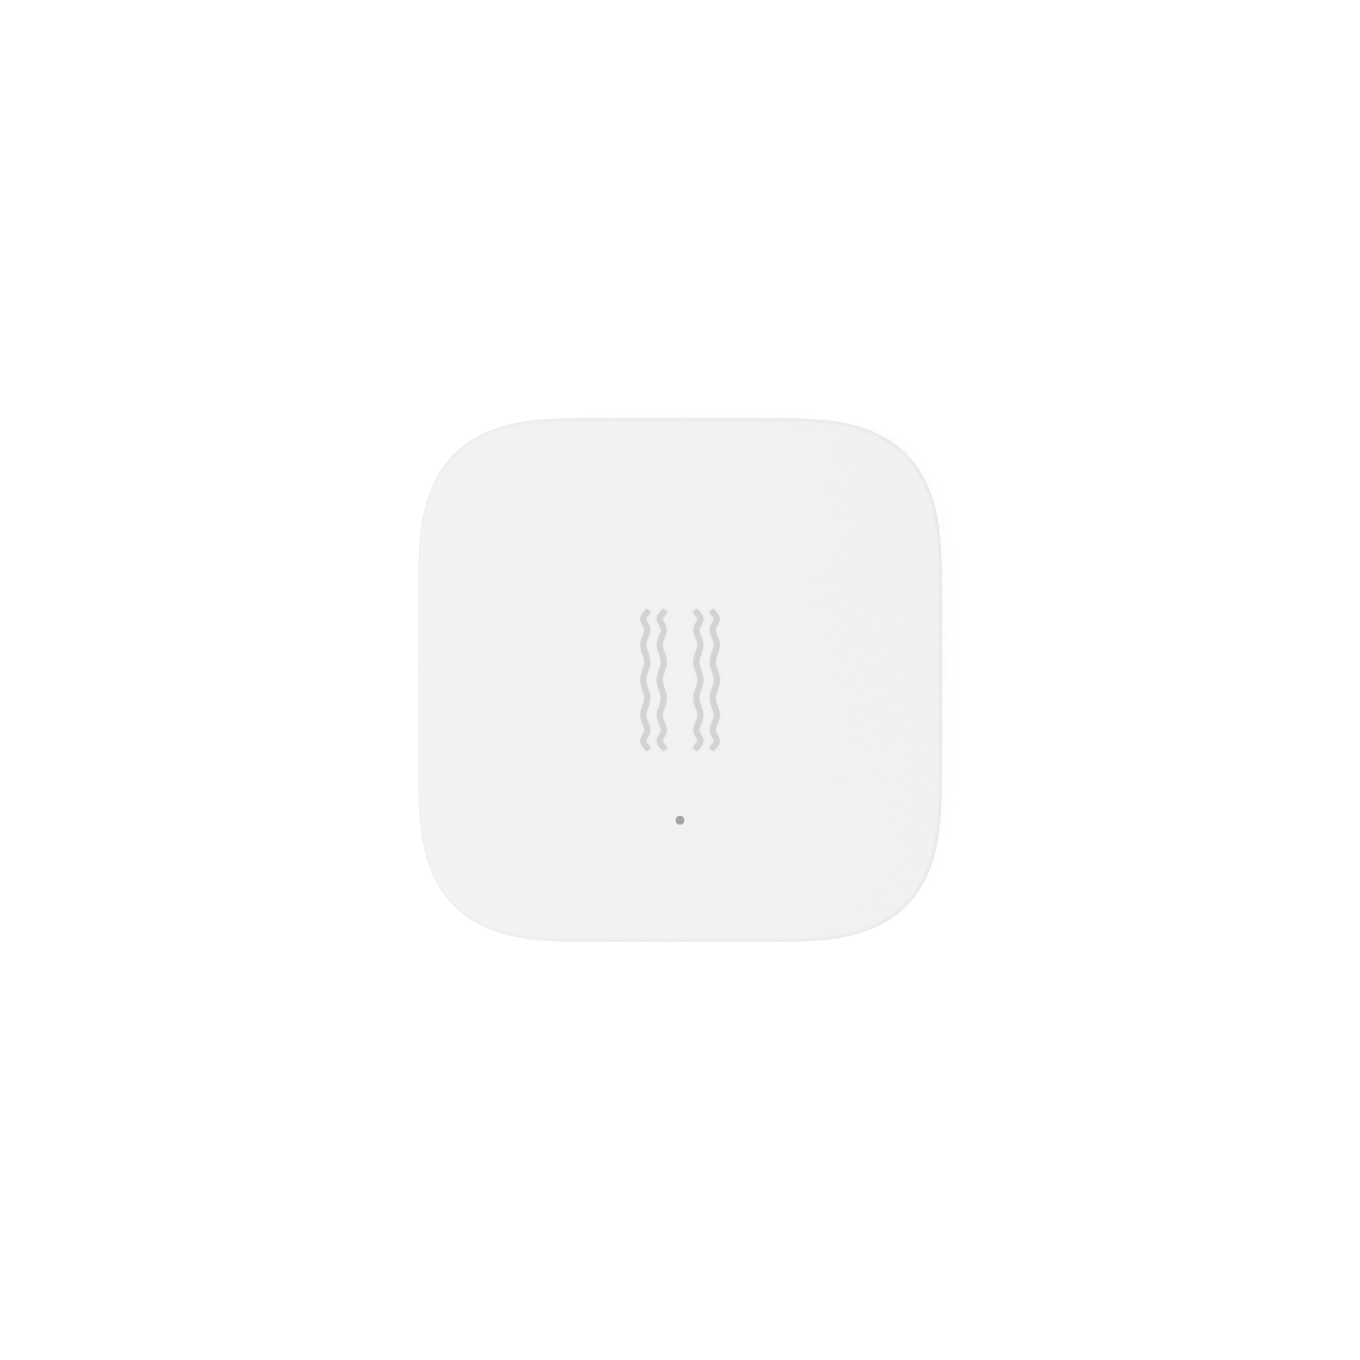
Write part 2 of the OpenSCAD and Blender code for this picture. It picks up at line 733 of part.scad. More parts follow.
module chips(places, turn, height) {
    for (p = places) translate([p[0], p[1], 0]) rotate([0, 0, turn])
        block([0, 0], [chip_size[0], chip_size[1], height], board_top);
}

module ceramic_capacitors() {
    color(ceramic_tan) {
        chips(capacitors_along_x, 0, chip_size[2]);
        chips(capacitors_along_y, 90, chip_size[2]);
    }
}

module chip_resistors() {
    color(chip_black) {
        chips(resistors_along_x, 0, resistor_h);
        chips(resistors_along_y, 90, resistor_h);
    }
}

module bulk_capacitor() {
    color(tantalum_yellow) block(bulk_place, bulk_size, board_z - bulk_size[2]);
}

// Side switch under the board: body, cover plate, plunger and the dome that springs it back
module switch_body() {
    low = board_z - switch_h + plate_t;
    room = button_z + stem_h / 2 + touch_gap - low + past;
    color(chip_black) difference() {
        translate([-switch_w / 2, switch_y - switch_d, low]) cube([switch_w, switch_d, switch_h - plate_t]);
        translate([-chamber_w / 2, chamber_end, low - past])
            cube([chamber_w, switch_y - switch_front - chamber_end, room]);
        translate([-stem_w / 2 - touch_gap, chamber_end, low - past])
            cube([stem_w + 2 * touch_gap, switch_d, room]);
    }
}

module switch_plate() {
    color(steel) translate([-switch_w / 2, switch_y - switch_d, board_z - switch_h])
        cube([switch_w, switch_d, plate_t]);
}

module switch_plunger() {
    back = switch_y - switch_front - touch_gap - shoulder_t;
    low = button_z - stem_h / 2;
    color(rubber_grey) {
        translate([-stem_w / 2, back, low]) cube([stem_w, plunger_tip - back, stem_h]);
        translate([-shoulder_w / 2, back, low]) cube([shoulder_w, shoulder_t, stem_h]);
    }
}

module switch_dome(steps = 12) {
    crest = switch_y - switch_front - 2 * touch_gap - shoulder_t - dome_t;
    foot = chamber_end + touch_gap;
    wide = chamber_w / 2 - touch_gap;
    bow = [for (i = [0:steps]) let (u = 2 * i / steps - 1) [wide * u, foot + (crest - foot) * (1 - u * u)]];
    color(nickel) translate([0, 0, button_z - stem_h / 2]) linear_extrude(stem_h)
        polygon(strip(bow, [0, dome_t]));
}

front_shell();
vibration_mark();
light_pipe();
reset_button();
rear_base();
adhesive_pad();
battery_cover();
cover_seal();
coin_cell_can();
coin_cell_gasket();
coin_cell_cap();
negative_contact();
positive_contact();
circuit_board();
board_screws();
radio_microcontroller();
accelerometer();
radio_crystal();
clock_crystal();
antenna_trace();
indicator_led();
ceramic_capacitors();
chip_resistors();
bulk_capacitor();
switch_body();
switch_plate();
switch_plunger();
switch_dome();
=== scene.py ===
# %% [markdown]
# # A stick-on vibration sensor tag
# The real object is a small white tag with a rounded-square face. It sticks to a door, a window or a
# machine and reports when that shakes. This lesson dresses its CAD frame for a studio picture: the
# moulded housing first, then the back with its battery cover, then the coin cell and the electronics that
# the housing hides. Every piece is made where the CAD puts it, so nothing is fitted by eye.

# %% Load the frame
import math

import bmesh
import bpy
from mathutils import Matrix, Vector


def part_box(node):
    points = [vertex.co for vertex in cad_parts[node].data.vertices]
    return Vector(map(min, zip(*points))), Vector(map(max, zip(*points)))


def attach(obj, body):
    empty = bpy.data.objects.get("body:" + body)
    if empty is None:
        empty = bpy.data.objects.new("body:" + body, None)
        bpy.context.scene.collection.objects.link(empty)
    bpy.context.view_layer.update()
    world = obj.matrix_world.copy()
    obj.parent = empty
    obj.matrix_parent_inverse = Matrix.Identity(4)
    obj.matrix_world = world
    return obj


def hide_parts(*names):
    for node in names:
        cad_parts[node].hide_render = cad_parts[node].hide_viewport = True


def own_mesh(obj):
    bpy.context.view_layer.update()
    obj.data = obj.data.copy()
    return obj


MM = 0.001
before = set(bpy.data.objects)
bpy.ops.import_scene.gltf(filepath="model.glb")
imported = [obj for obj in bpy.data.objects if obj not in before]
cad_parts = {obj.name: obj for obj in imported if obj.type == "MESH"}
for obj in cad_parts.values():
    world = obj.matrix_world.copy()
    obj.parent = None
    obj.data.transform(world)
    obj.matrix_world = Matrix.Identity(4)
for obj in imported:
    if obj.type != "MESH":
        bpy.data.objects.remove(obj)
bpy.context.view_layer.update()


def box_mm(node):
    """Lowest and highest corner of a CAD node, in millimetres."""
    return [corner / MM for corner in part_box(node)]


shell_low, shell_high = box_mm("front_shell")
half = shell_high.x
back_z = shell_low.z
face_z = shell_high.z

# %% [markdown]
# ## Camera
# The picture looks straight down on the face, so the camera hangs over the tag with a long lens that
# keeps the side walls out of sight. How much it sees comes from the picture: its width over the tag's, in
# pixels.

# %% Camera over the face
picture_px = 1360
tag_px = 523.56
edge_round = 0.3
lens = 200.0
sensor = 36.0
view_w = 2 * half * picture_px / tag_px
camera_data = bpy.data.cameras.new("studio_camera")
camera_data.lens = lens
camera_data.sensor_width = sensor
camera_data.clip_start = 0.01
camera = bpy.data.objects.new("studio_camera", camera_data)
camera.location.z = (face_z - edge_round + view_w * lens / sensor) * MM
scene = bpy.context.scene
scene.collection.objects.link(camera)
scene.camera = camera
scene.view_settings.view_transform = "Standard"
print("camera height, mm:", round(camera.location.z / MM, 1))

# %% [markdown]
# ## Light
# An even white room and two weak soft lamps keep the face almost flat in tone, a touch brighter on the
# left. The room could be a dome of white card, but a world background does the same with no mesh. What
# the camera sees of it is plain white, and what lights the tag is a little weaker, so that white plastic
# doesn't clip. Rooms and finishes are node trees, so a few helpers come first: one fills a node's inputs,
# one adds a node, and one does arithmetic.

# %% White room
room_light = 0.87


def fill(node, **inputs):
    """Set inputs by name, or by number as i0 or i1. A node or a socket is linked, and a value is stored."""
    for key, value in inputs.items():
        name = int(key[1:]) if key[1:].isdigit() else key.replace("_", " ")
        if isinstance(value, bpy.types.Node):
            value = next(socket for socket in value.outputs if socket.enabled)
        if isinstance(value, bpy.types.NodeSocket):
            node.id_data.links.new(value, node.inputs[name])
        else:
            node.inputs[name].default_value = value
    return node


def put(tree, kind, settings=None, **inputs):
    """Add a node with its properties and its inputs."""
    node = tree.nodes.new(kind)
    for key, value in (settings or {}).items():
        setattr(node, key, value)
    return fill(node, **inputs)


def calc(tree, operation, a, b=0.0, c=0.0):
    """One step of arithmetic."""
    return put(tree, "ShaderNodeMath", {"operation": operation}, i0=a, i1=b, i2=c)


def view_rays(tree):
    """1 for the rays that show a thing to the camera: straight, in a reflection or through glass."""
    path = put(tree, "ShaderNodeLightPath").outputs
    straight_or_mirrored = calc(tree, "MAXIMUM", path["Is Camera Ray"], path["Is Glossy Ray"])
    return calc(tree, "MAXIMUM", straight_or_mirrored, path["Is Transmission Ray"])


scene.world = bpy.data.worlds.new("white_room")
scene.world.use_nodes = True
room = scene.world.node_tree
room.nodes.clear()
level = put(room, "ShaderNodeMapRange", Value=view_rays(room), To_Min=room_light, To_Max=1.0)
glow = put(room, "ShaderNodeBackground", Color=(1, 1, 1, 1), Strength=level)
put(room, "ShaderNodeOutputWorld", Surface=glow)
print("room:", len(room.nodes), "nodes, light", room_light)

# %% Soft lamps


def soft_lamp(name, place, size, power):
    """Square lamp that looks at the tag."""
    lamp = bpy.data.lights.new(name, "AREA")
    lamp.size = size
    lamp.energy = power
    holder = bpy.data.objects.new(name, lamp)
    holder.location = place
    holder.rotation_euler = (-holder.location).to_track_quat("-Z", "Y").to_euler()
    scene.collection.objects.link(holder)


soft_lamp("left_softbox", place=(-0.16, 0.0, 0.20), size=0.12, power=0.056)
soft_lamp("overhead_softbox", place=(0.02, -0.04, 0.60), size=0.40, power=0.29)
print("lamps:", bpy.data.lights.keys())

# %% [markdown]
# ## Floor
# The floor is white paper just under the pad. The camera sees it as white with the tag's soft shadow.
# Soft light passes through it, because the white room below is as bright as lit paper, and from below it
# can't be seen at all, so the back of the tag can be looked at too.

# %% Pale floor
floor_half = 3.0
floor_drop = 0.02
paper_white = (0.82, 0.82, 0.82, 1)
paper_lift = 0.29


def new_object(name, mesh):
    """Object in the scene."""
    piece = bpy.data.objects.new(name, mesh)
    scene.collection.objects.link(piece)
    return piece


floor_mesh = bpy.data.meshes.new("floor")
corners = [(-1, -1), (1, -1), (1, 1), (-1, 1)]
places = [(x * floor_half, y * floor_half, -floor_drop * MM) for x, y in corners]
floor_mesh.from_pydata(places, [], [(0, 1, 2, 3)])
floor = new_object("floor", floor_mesh)
paper = bpy.data.materials.new("white_paper")
paper.use_nodes = True
tree = paper.node_tree
tree.nodes.clear()
matt = put(tree, "ShaderNodeBsdfDiffuse", Color=paper_white)
lift = put(tree, "ShaderNodeEmission", Strength=calc(tree, "MULTIPLY", view_rays(tree), paper_lift))
lit = put(tree, "ShaderNodeAddShader", i0=matt, i1=lift)
clear = put(tree, "ShaderNodeBsdfTransparent")
below = put(tree, "ShaderNodeNewGeometry").outputs["Backfacing"]
soft_ray = put(tree, "ShaderNodeLightPath").outputs["Is Diffuse Ray"]
unseen = calc(tree, "MAXIMUM", below, soft_ray)
paper_mix = put(tree, "ShaderNodeMixShader", i0=unseen, i1=lit, i2=clear)
put(tree, "ShaderNodeOutputMaterial", Surface=paper_mix)
floor_mesh.materials.append(paper)
print("floor is", floor.dimensions[:2], "m")

# %% [markdown]
# ## Outlines and profiles
# Most of the housing is a stack of outlines: the rounded square on the outside, circles around the
# battery. If every outline has the same number of points, neighbours join with plain quads, and a rounded
# square can run into a circle without a seam. The corners follow a superellipse, because a plain fillet
# looks too round beside the photograph. Hard corners of a profile are replaced by small arcs, with an
# extra loop on each flat so that smooth shading stays even, as it would on a moulded part.

# %% Outlines
corner_reach = 11.5
corner_power = 2.9


def corner_point(t, inset):
    """Point of the upper right corner at parameter t, pulled in square to the curve."""
    cx = math.cos(t) ** (2 / corner_power) if t < math.pi / 2 else 0.0
    cy = math.sin(t) ** (2 / corner_power)
    nx = cx ** (corner_power - 1)
    ny = cy ** (corner_power - 1)
    pull = inset / math.hypot(nx, ny)
    middle = half - corner_reach
    return middle + corner_reach * cx - pull * nx, middle + corner_reach * cy - pull * ny


def outline(inset=0.0, corner_steps=40, side_steps=16):
    """Rounded square of the tag, anticlockwise, with points along its straight sides too."""
    arc = [corner_point(0.5 * math.pi * (i / corner_steps), inset) for i in range(corner_steps + 1)]
    edge, straight = arc[0]
    quarter = [(edge, straight * (2 * i / side_steps - 1)) for i in range(1, side_steps)] + arc
    points = []
    for _ in range(4):
        points += quarter
        quarter = [(-y, x) for x, y in quarter]
    return points


def circle_like(radius):
    """Circle whose points lie in the same directions as those of the outline."""
    return [(radius * x / math.hypot(x, y), radius * y / math.hypot(x, y)) for x, y in outline()]


print("points in an outline:", len(outline()))

# %% Profiles with soft corners
most_of_flat = 0.45


def soft_corners(profile, radius=0.12, steps=4, hold=0.06):
    """Replace the corners of an open profile by arcs, and hold the flats beside them with one point each.
    A third number in a point is that corner's own radius."""
    points = [Vector(point[:2]) for point in profile]
    result = [points[0]]
    for before, here, after, point in zip(points, points[1:], points[2:], profile[1:]):
        back = before - here
        on = after - here
        own = point[2] if len(point) > 2 else radius
        reach = min(own, most_of_flat * back.length, most_of_flat * on.length)
        if not reach:
            result.append(here)
            continue
        # A small corner is held closer, and never past the middle of what is left of a flat.
        extra = min(hold, 0.3 * reach + 0.02, 0.5 * (back.length - reach), 0.5 * (on.length - reach))
        back.normalize()
        on.normalize()
        result.append(here + back * (reach + extra))
        for i in range(steps + 1):
            turn = 0.5 * math.pi * i / steps
            result.append(here + reach * ((1 - math.sin(turn)) * back + (1 - math.cos(turn)) * on))
        result.append(here + on * (reach + extra))
    return result + [points[-1]]


print("a soft corner takes", len(soft_corners([(0, 0), (1, 0), (1, 1)])), "points")

# %% [markdown]
# ## Finishes
# White moulded plastic is never one flat colour: the mould has a fine spark-eroded grain, and hands leave
# a faint unevenness in the gloss. Both effects are wanted on several pieces, so they are a node group
# with its own inputs that is placed in every material that needs it. The group only puts out values, and
# the shader stays in the material.

# %% Moulded grain group
effect_outputs = {"Height": "Float", "Roughness": "Float", "Tint": "Float"}


def group_tree(name, kind, inputs, outputs):
    """Start a node group. An input is named with its default, or with its kind where it has no default.
    Returns the group, the sockets that give its inputs, and its output node."""
    made = bpy.data.node_groups.new(name, kind)
    for label, default in inputs.items():
        socket_kind = {float: "Float", tuple: "Vector"}.get(type(default), default)
        item = made.interface.new_socket(label, in_out="INPUT", socket_type="NodeSocket" + socket_kind)
        if socket_kind != default:
            item.default_value = default
    for label, socket_kind in outputs.items():
        made.interface.new_socket(label, in_out="OUTPUT", socket_type="NodeSocket" + socket_kind)
    return made, made.nodes.new("NodeGroupInput").outputs, made.nodes.new("NodeGroupOutput")


def own_place(tree):
    """Place on the piece, in its own coordinates."""
    return put(tree, "ShaderNodeTexCoord").outputs["Object"]


def noise(tree, scale, detail=3.0, roughness=0.5, place=None):
    """Noise over the piece."""
    inputs = {"Vector": place or own_place(tree), "Scale": scale, "Detail": detail, "Roughness": roughness}
    return put(tree, "ShaderNodeTexNoise", **inputs)


grain, given, sink = group_tree(
    "moulded_grain",
    "ShaderNodeTree",
    {"Grain Scale": 9000.0, "Base Roughness": 0.45, "Roughness Swing": 0.08, "Tint Swing": 0.012},
    effect_outputs,
)
fine = noise(grain, given["Grain Scale"], detail=2.0, roughness=0.6)
broad = calc(grain, "SUBTRACT", noise(grain, scale=110.0, roughness=0.55), 0.5)
rough = calc(grain, "MULTIPLY_ADD", broad, given["Roughness Swing"], given["Base Roughness"])
tint = calc(grain, "MULTIPLY_ADD", broad, given["Tint Swing"], 1.0)
fill(sink, Height=fine, Roughness=rough, Tint=tint)
print("group:", grain.name, [item.name for item in grain.interface.items_tree])

# %% Moulded plastics


def blank_material(name):
    """A new material, its tree and its shader."""
    material = bpy.data.materials.new(name)
    material.use_nodes = True
    return material, material.node_tree, material.node_tree.nodes["Principled BSDF"]


def raised(tree, height, depth, strength=0.5):
    """Bump of a depth in millimetres."""
    return put(tree, "ShaderNodeBump", Strength=strength, Distance=depth * MM, Height=height)


def wear(shader, group, colour, depth, strength, **sizes):
    """Let an effect group tint a shader's colour, set its gloss and raise its surface."""
    tree = shader.id_data
    effect = put(tree, "ShaderNodeGroup", {"node_tree": group}, **sizes).outputs
    tinted = put(tree, "ShaderNodeVectorMath", {"operation": "SCALE"}, i0=colour, Scale=effect["Tint"])
    fill(shader, Base_Color=tinted, Roughness=effect["Roughness"])
    if depth:
        fill(shader, Normal=raised(tree, effect["Height"], depth, strength))


def moulded(name, colour, roughness, grain_scale=9000.0, depth=0.004, tint_swing=0.012):
    """Moulded plastic with spark grain of a depth in millimetres."""
    material, _, shader = blank_material(name)
    sizes = {"Grain Scale": grain_scale, "Base Roughness": roughness, "Tint Swing": tint_swing}
    wear(shader, grain, colour, depth, strength=0.5, **sizes)
    return material


shell_white = moulded("shell_white", (0.86, 0.86, 0.86), 0.42, grain_scale=11000.0, depth=0.002)
base_white = moulded("base_white", (0.84, 0.84, 0.84), 0.5, grain_scale=7000.0, depth=0.006)
cover_white = moulded("cover_white", (0.85, 0.85, 0.85), 0.48, grain_scale=7000.0, depth=0.006)
button_white = moulded("button_white", (0.85, 0.85, 0.85), 0.4, grain_scale=11000.0, depth=0.002)
print("plastics:", [m.name for m in (shell_white, base_white, cover_white, button_white)])

# %% [markdown]
# ## Front shell
# The shell is one moulding: a face, four walls that run into each other through the soft corners, and
# inside it the bosses for the board's screws and the guide of the button. The outside is a stack of
# outlines with a small round where the face meets the walls. A cutter of the button's own shape then
# opens the wall, so the bore gets a soft lip.

# %% Shell walls and face
wall = 1.2
ceiling_z = face_z - wall
face_in = 2.0
ceiling_in = 2.6
crease = math.radians(32)


def loop_at(bm, points, z):
    """Vertices of one outline at a height, from millimetres to metres."""
    return [bm.verts.new((x * MM, y * MM, z * MM)) for x, y in points]


def bridge(bm, low, high):
    """Faces between two loops of as many points, or between a loop and a single pole."""
    count = max(len(low), len(high))
    for i in range(count):
        j = (i + 1) % count
        corners = [low[i % len(low)], low[j % len(low)], high[j % len(high)], high[i % len(high)]]
        bm.faces.new(list(dict.fromkeys(corners)))


def stack(bm, shape, profile):
    """Loops of a shape along a profile of offsets and heights, joined. Returns the first and last loop."""
    loops = [loop_at(bm, shape(offset), z) for offset, z in profile]
    for low, high in zip(loops, loops[1:]):
        bridge(bm, low, high)
    return loops[0], loops[-1]


def smooth(mesh):
    """Shade a mesh smoothly between its creases."""
    mesh.shade_smooth()
    mesh.set_sharp_from_angle(angle=crease)


def make(name, bm):
    """Object with a closed, outward, smooth mesh."""
    bmesh.ops.remove_doubles(bm, verts=bm.verts[:], dist=1e-8)
    bmesh.ops.recalc_face_normals(bm, faces=bm.faces[:])
    mesh = bpy.data.meshes.new(name)
    bm.to_mesh(mesh)
    bm.free()
    smooth(mesh)
    return new_object(name, mesh)


outside = [(wall, back_z), (0, back_z, edge_round), (0, face_z, edge_round), (face_in, face_z)]
inside = [(ceiling_in, ceiling_z), (wall, ceiling_z, 0.4), (wall, back_z)]
bm = bmesh.new()
first, top = stack(bm, outline, soft_corners(outside, steps=8))
roof, last = stack(bm, outline, soft_corners(inside, steps=5))
bridge(bm, last, first)
bm.faces.new(top)
bm.faces.new(roof)
shell = make("shell", bm)
print("shell outside:", [round(v / MM, 2) for v in shell.dimensions])

# %% Bosses and button guide inside the shell
board_low, board_high = box_mm("circuit_board")
board_z = board_low.z
board_top = board_high.z
button_low, button_high = box_mm("reset_button")
button_z = (button_low.z + button_high.z) / 2
screw_places = [(-11.0, 11.0), (11.0, 11.0), (0.0, -13.2)]
boss_r = 1.7
boss_foot = 0.3
guide_r = 2.26
guide_in = 0.8
guide_root = 0.4
guide_y = half - wall - guide_in
guide_end = half - wall + guide_root


def lathe(bm, profile, steps=144, centre=(0.0, 0.0)):
    """Turn a profile of radii and heights about a line along Z. A point on that line becomes one pole."""
    rings = []
    for radius, z in profile:
        count = steps if radius else 1
        angles = [2 * math.pi * i / count for i in range(count)]
        ring = [(centre[0] + radius * math.cos(a), centre[1] + radius * math.sin(a)) for a in angles]
        rings.append(loop_at(bm, ring, z))
    for low, high in zip(rings, rings[1:]):
        bridge(bm, low, high)


def lay_along_y(bm, height):
    """Lay what was turned about Z along +Y, at a height in millimetres."""
    for v in bm.verts:
        x, y, z = v.co
        v.co = (x, z, height * MM - y)


bosses = bmesh.new()
guide_line = [(0, guide_y), (guide_r, guide_y), (guide_r, guide_end), (0, guide_end)]
lathe(bosses, soft_corners(guide_line), steps=64)
lay_along_y(bosses, button_z)
foot_r = boss_r + boss_foot
foot_z = ceiling_z + boss_foot
boss_line = [(0, board_top), (boss_r, board_top, 0.15), (boss_r, ceiling_z), (foot_r, foot_z), (0, foot_z)]
for place in screw_places:
    lathe(bosses, soft_corners(boss_line), steps=48, centre=place)
print("bosses and guide:", len(bosses.faces), "faces")

# %% Weld them on


def freeze(piece):
    """Keep what a piece's modifiers make of it as its plain mesh."""
    bpy.context.view_layer.update()
    seen = piece.evaluated_get(bpy.context.evaluated_depsgraph_get())
    result = bpy.data.meshes.new_from_object(seen)
    old = piece.data
    piece.modifiers.clear()
    piece.data = result
    bpy.data.meshes.remove(old)
    result.name = piece.name
    smooth(result)


def discard(piece):
    """Delete an object that was only a tool, with its mesh."""
    mesh = piece.data
    bpy.data.objects.remove(piece)
    bpy.data.meshes.remove(mesh)


def cut(piece, bm, operation="DIFFERENCE"):
    """Take a closed bmesh out of a piece, or weld it on with UNION."""
    tool = make("cutter", bm)
    step = piece.modifiers.new("cut", "BOOLEAN")
    step.operation = operation
    step.solver = "EXACT"
    step.use_self = True
    step.object = tool
    freeze(piece)
    discard(tool)


cut(shell, bosses, "UNION")
print("shell with bosses:", len(shell.data.polygons), "faces")

# %% Bores and light hole
pipe_low, pipe_high = box_mm("light_pipe")
light_place = (0.0, (pipe_low.y + pipe_high.y) / 2)
light_r = 0.295
bore_r = 1.56
pilot_r = 0.7
pilot_depth = 0.4
past = 0.3


def rod(bm, radius, low, high, steps=32, centre=(0.0, 0.0)):
    """Plain round bar along Z."""
    lathe(bm, [(0, low), (radius, low), (radius, high), (0, high)], steps, centre)


def lipped_drill(bm, radius, low, high, lip, rim_r, steps, arc=4, centre=(0.0, 0.0)):
    """Round cutter that opens in a soft lip at its upper end, and stands past what it cuts at both ends."""
    start = low - past
    end = high + past
    line = [(0, start), (radius, start), (radius, high, lip), (rim_r, high), (rim_r, end), (0, end)]
    lathe(bm, soft_corners(line, radius=0.0, steps=arc), steps, centre)


holes = bmesh.new()
lipped_drill(holes, bore_r, guide_y, half, lip=0.16, rim_r=2.1, steps=96, arc=5)
lay_along_y(holes, button_z)
lipped_drill(holes, light_r, ceiling_z, face_z, lip=0.01, rim_r=0.5, steps=48, centre=light_place)
for place in screw_places:
    rod(holes, pilot_r, board_top - past, ceiling_z + pilot_depth, centre=place)
print("drills:", len(holes.faces), "faces")

# %% Snap pockets
hook_z = 3.5
hook_h = 0.7
hook_gap = 0.06
pocket_depth = 0.51
# Each hook has the side that it is on in degrees, its place along that side and its width.
hooks = [(0, 0.0, 5.0), (180, 0.0, 5.0), (270, 0.0, 5.0), (90, 5.0, 2.4), (90, -5.0, 2.4)]


def pour(bm, part, degrees=0):
    """Add one bmesh to another, turned about Z."""
    bmesh.ops.rotate(part, verts=part.verts[:], matrix=Matrix.Rotation(math.radians(degrees), 3, "Z"))
    mesh = bpy.data.meshes.new("pour")
    part.to_mesh(mesh)
    part.free()
    bm.from_mesh(mesh)
    bpy.data.meshes.remove(mesh)


def soft_box(bm, low, high, radius=0.08, steps=2, finish=0):
    """Block between two corners, in millimetres, with rounded edges and one of its piece's finishes."""
    block = bmesh.new()
    bmesh.ops.create_cube(block, size=1.0)
    size = Vector(high) - Vector(low)
    middle = (Vector(high) + Vector(low)) / 2
    for v in block.verts:
        v.co = (v.co * size + middle) * MM
    if radius:
        edges = block.edges[:]
        bmesh.ops.bevel(block, geom=edges, offset=radius * MM, segments=steps, profile=0.5, affect="EDGES")
    for face in block.faces:
        face.material_index = finish
    pour(bm, block)


def dress(piece, slot, *replaced, body="housing", materials=()):
    """Hand a finished piece to the frame: its body, its materials and the nodes it stands for. The slot in
    the record is not used.
    """
    for material in materials:
        piece.data.materials.append(material)
    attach(piece, body)
    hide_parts(*replaced)
    print(piece.name, "on", body, "with", len(piece.data.polygons), "faces")


for side, along, width in hooks:
    pocket = bmesh.new()
    reach = width / 2 + hook_gap
    low = (half - wall - past, along - reach, hook_z - hook_gap)
    high = (half - wall + pocket_depth, along + reach, hook_z + hook_h + hook_gap)
    soft_box(pocket, low, high, radius=0)
    pour(holes, pocket, side)
cut(shell, holes)
dress(shell, "shell_plastic", "front_shell", materials=[shell_white])

# %% [markdown]
# ## Printed vibration mark
# Two pairs of wavy lines stand for shaking. Drawn by hand they would never be even, so a geometry tree
# draws them by rule: the waves swing from side to side like a cosine, and their heights follow a sine,
# which crowds them together towards both ends, where the line runs out straight. One line is a group of
# its own, and the mark uses it for the inner and the outer line and then for their mirror images.

# %% One wavy line
line_points = 160
line_sizes = {
    "Swing": 0.00014,
    "Rise": 0.00489,
    "Turn": math.radians(14.8),
    "Half Waves": 4.7,
    "Tail": 0.00026,
    "Stroke": 0.0004,
    "Ink Thickness": 0.00003,
    "Height": 0.009,
}
sockets = {"Offset": 0.00126, **line_sizes}
wavy, given, sink = group_tree("wavy_line", "GeometryNodeTree", sockets, {"Line": "Geometry"})


def times(a, b):
    """Product of two values of the line."""
    return calc(wavy, "MULTIPLY", a, b)


def point_step(operation, a, **inputs):
    """One step of arithmetic on points of the line."""
    return put(wavy, "ShaderNodeVectorMath", {"operation": operation}, i0=a, **inputs)


def ribbon(tree, line, width, thickness):
    """Sweep a flat strip along the edges of a mesh."""
    curve = put(tree, "GeometryNodeMeshToCurve", Mesh=line)
    upright = put(tree, "GeometryNodeSetCurveNormal", {"mode": "Z_UP"}, Curve=curve)
    strip = put(tree, "GeometryNodeCurvePrimitiveQuadrilateral", Width=width, Height=thickness)
    return put(tree, "GeometryNodeCurveToMesh", Curve=upright, Profile_Curve=strip, Fill_Caps=True)


index = put(wavy, "GeometryNodeInputIndex")
share = calc(wavy, "MULTIPLY_ADD", index, 2.0 / line_points, -1.0 - 2.0 / line_points)
inner = put(wavy, "ShaderNodeClamp", Value=share, Min=-1.0, Max=1.0)
beyond = times(calc(wavy, "SUBTRACT", share, inner), line_points / 2.0)
u = times(inner, given["Half Waves"])
angle = times(u, math.pi)
crowding = times(u, given["Turn"])
x = calc(wavy, "MULTIPLY_ADD", calc(wavy, "COSINE", angle), given["Swing"], given["Offset"])
y = times(calc(wavy, "SINE", crowding), given["Rise"])
z = calc(wavy, "MULTIPLY_ADD", given["Ink Thickness"], 0.5, given["Height"])
slope_x = times(times(calc(wavy, "SINE", angle), -math.pi), given["Swing"])
slope_y = times(times(calc(wavy, "COSINE", crowding), given["Rise"]), given["Turn"])
along = point_step("NORMALIZE", put(wavy, "ShaderNodeCombineXYZ", X=slope_x, Y=slope_y))
run_out = point_step("SCALE", along, Scale=times(beyond, given["Tail"]))
place = point_step("ADD", put(wavy, "ShaderNodeCombineXYZ", X=x, Y=y, Z=z), i1=run_out)
row = put(wavy, "GeometryNodeMeshLine", Count=line_points + 3)
moved = put(wavy, "GeometryNodeSetPosition", Geometry=row, Position=place)
fill(sink, Line=ribbon(wavy, moved, given["Stroke"], given["Ink Thickness"]))
print("group:", wavy.name, "with", len(wavy.nodes), "nodes")

# %% The whole mark
offsets = {"Inner Offset": 0.00126, "Outer Offset": 0.00239}
sockets = {**offsets, **line_sizes, "Ink": "Material"}
mark_tree, given, sink = group_tree("vibration_mark", "GeometryNodeTree", sockets, {"Mark": "Geometry"})


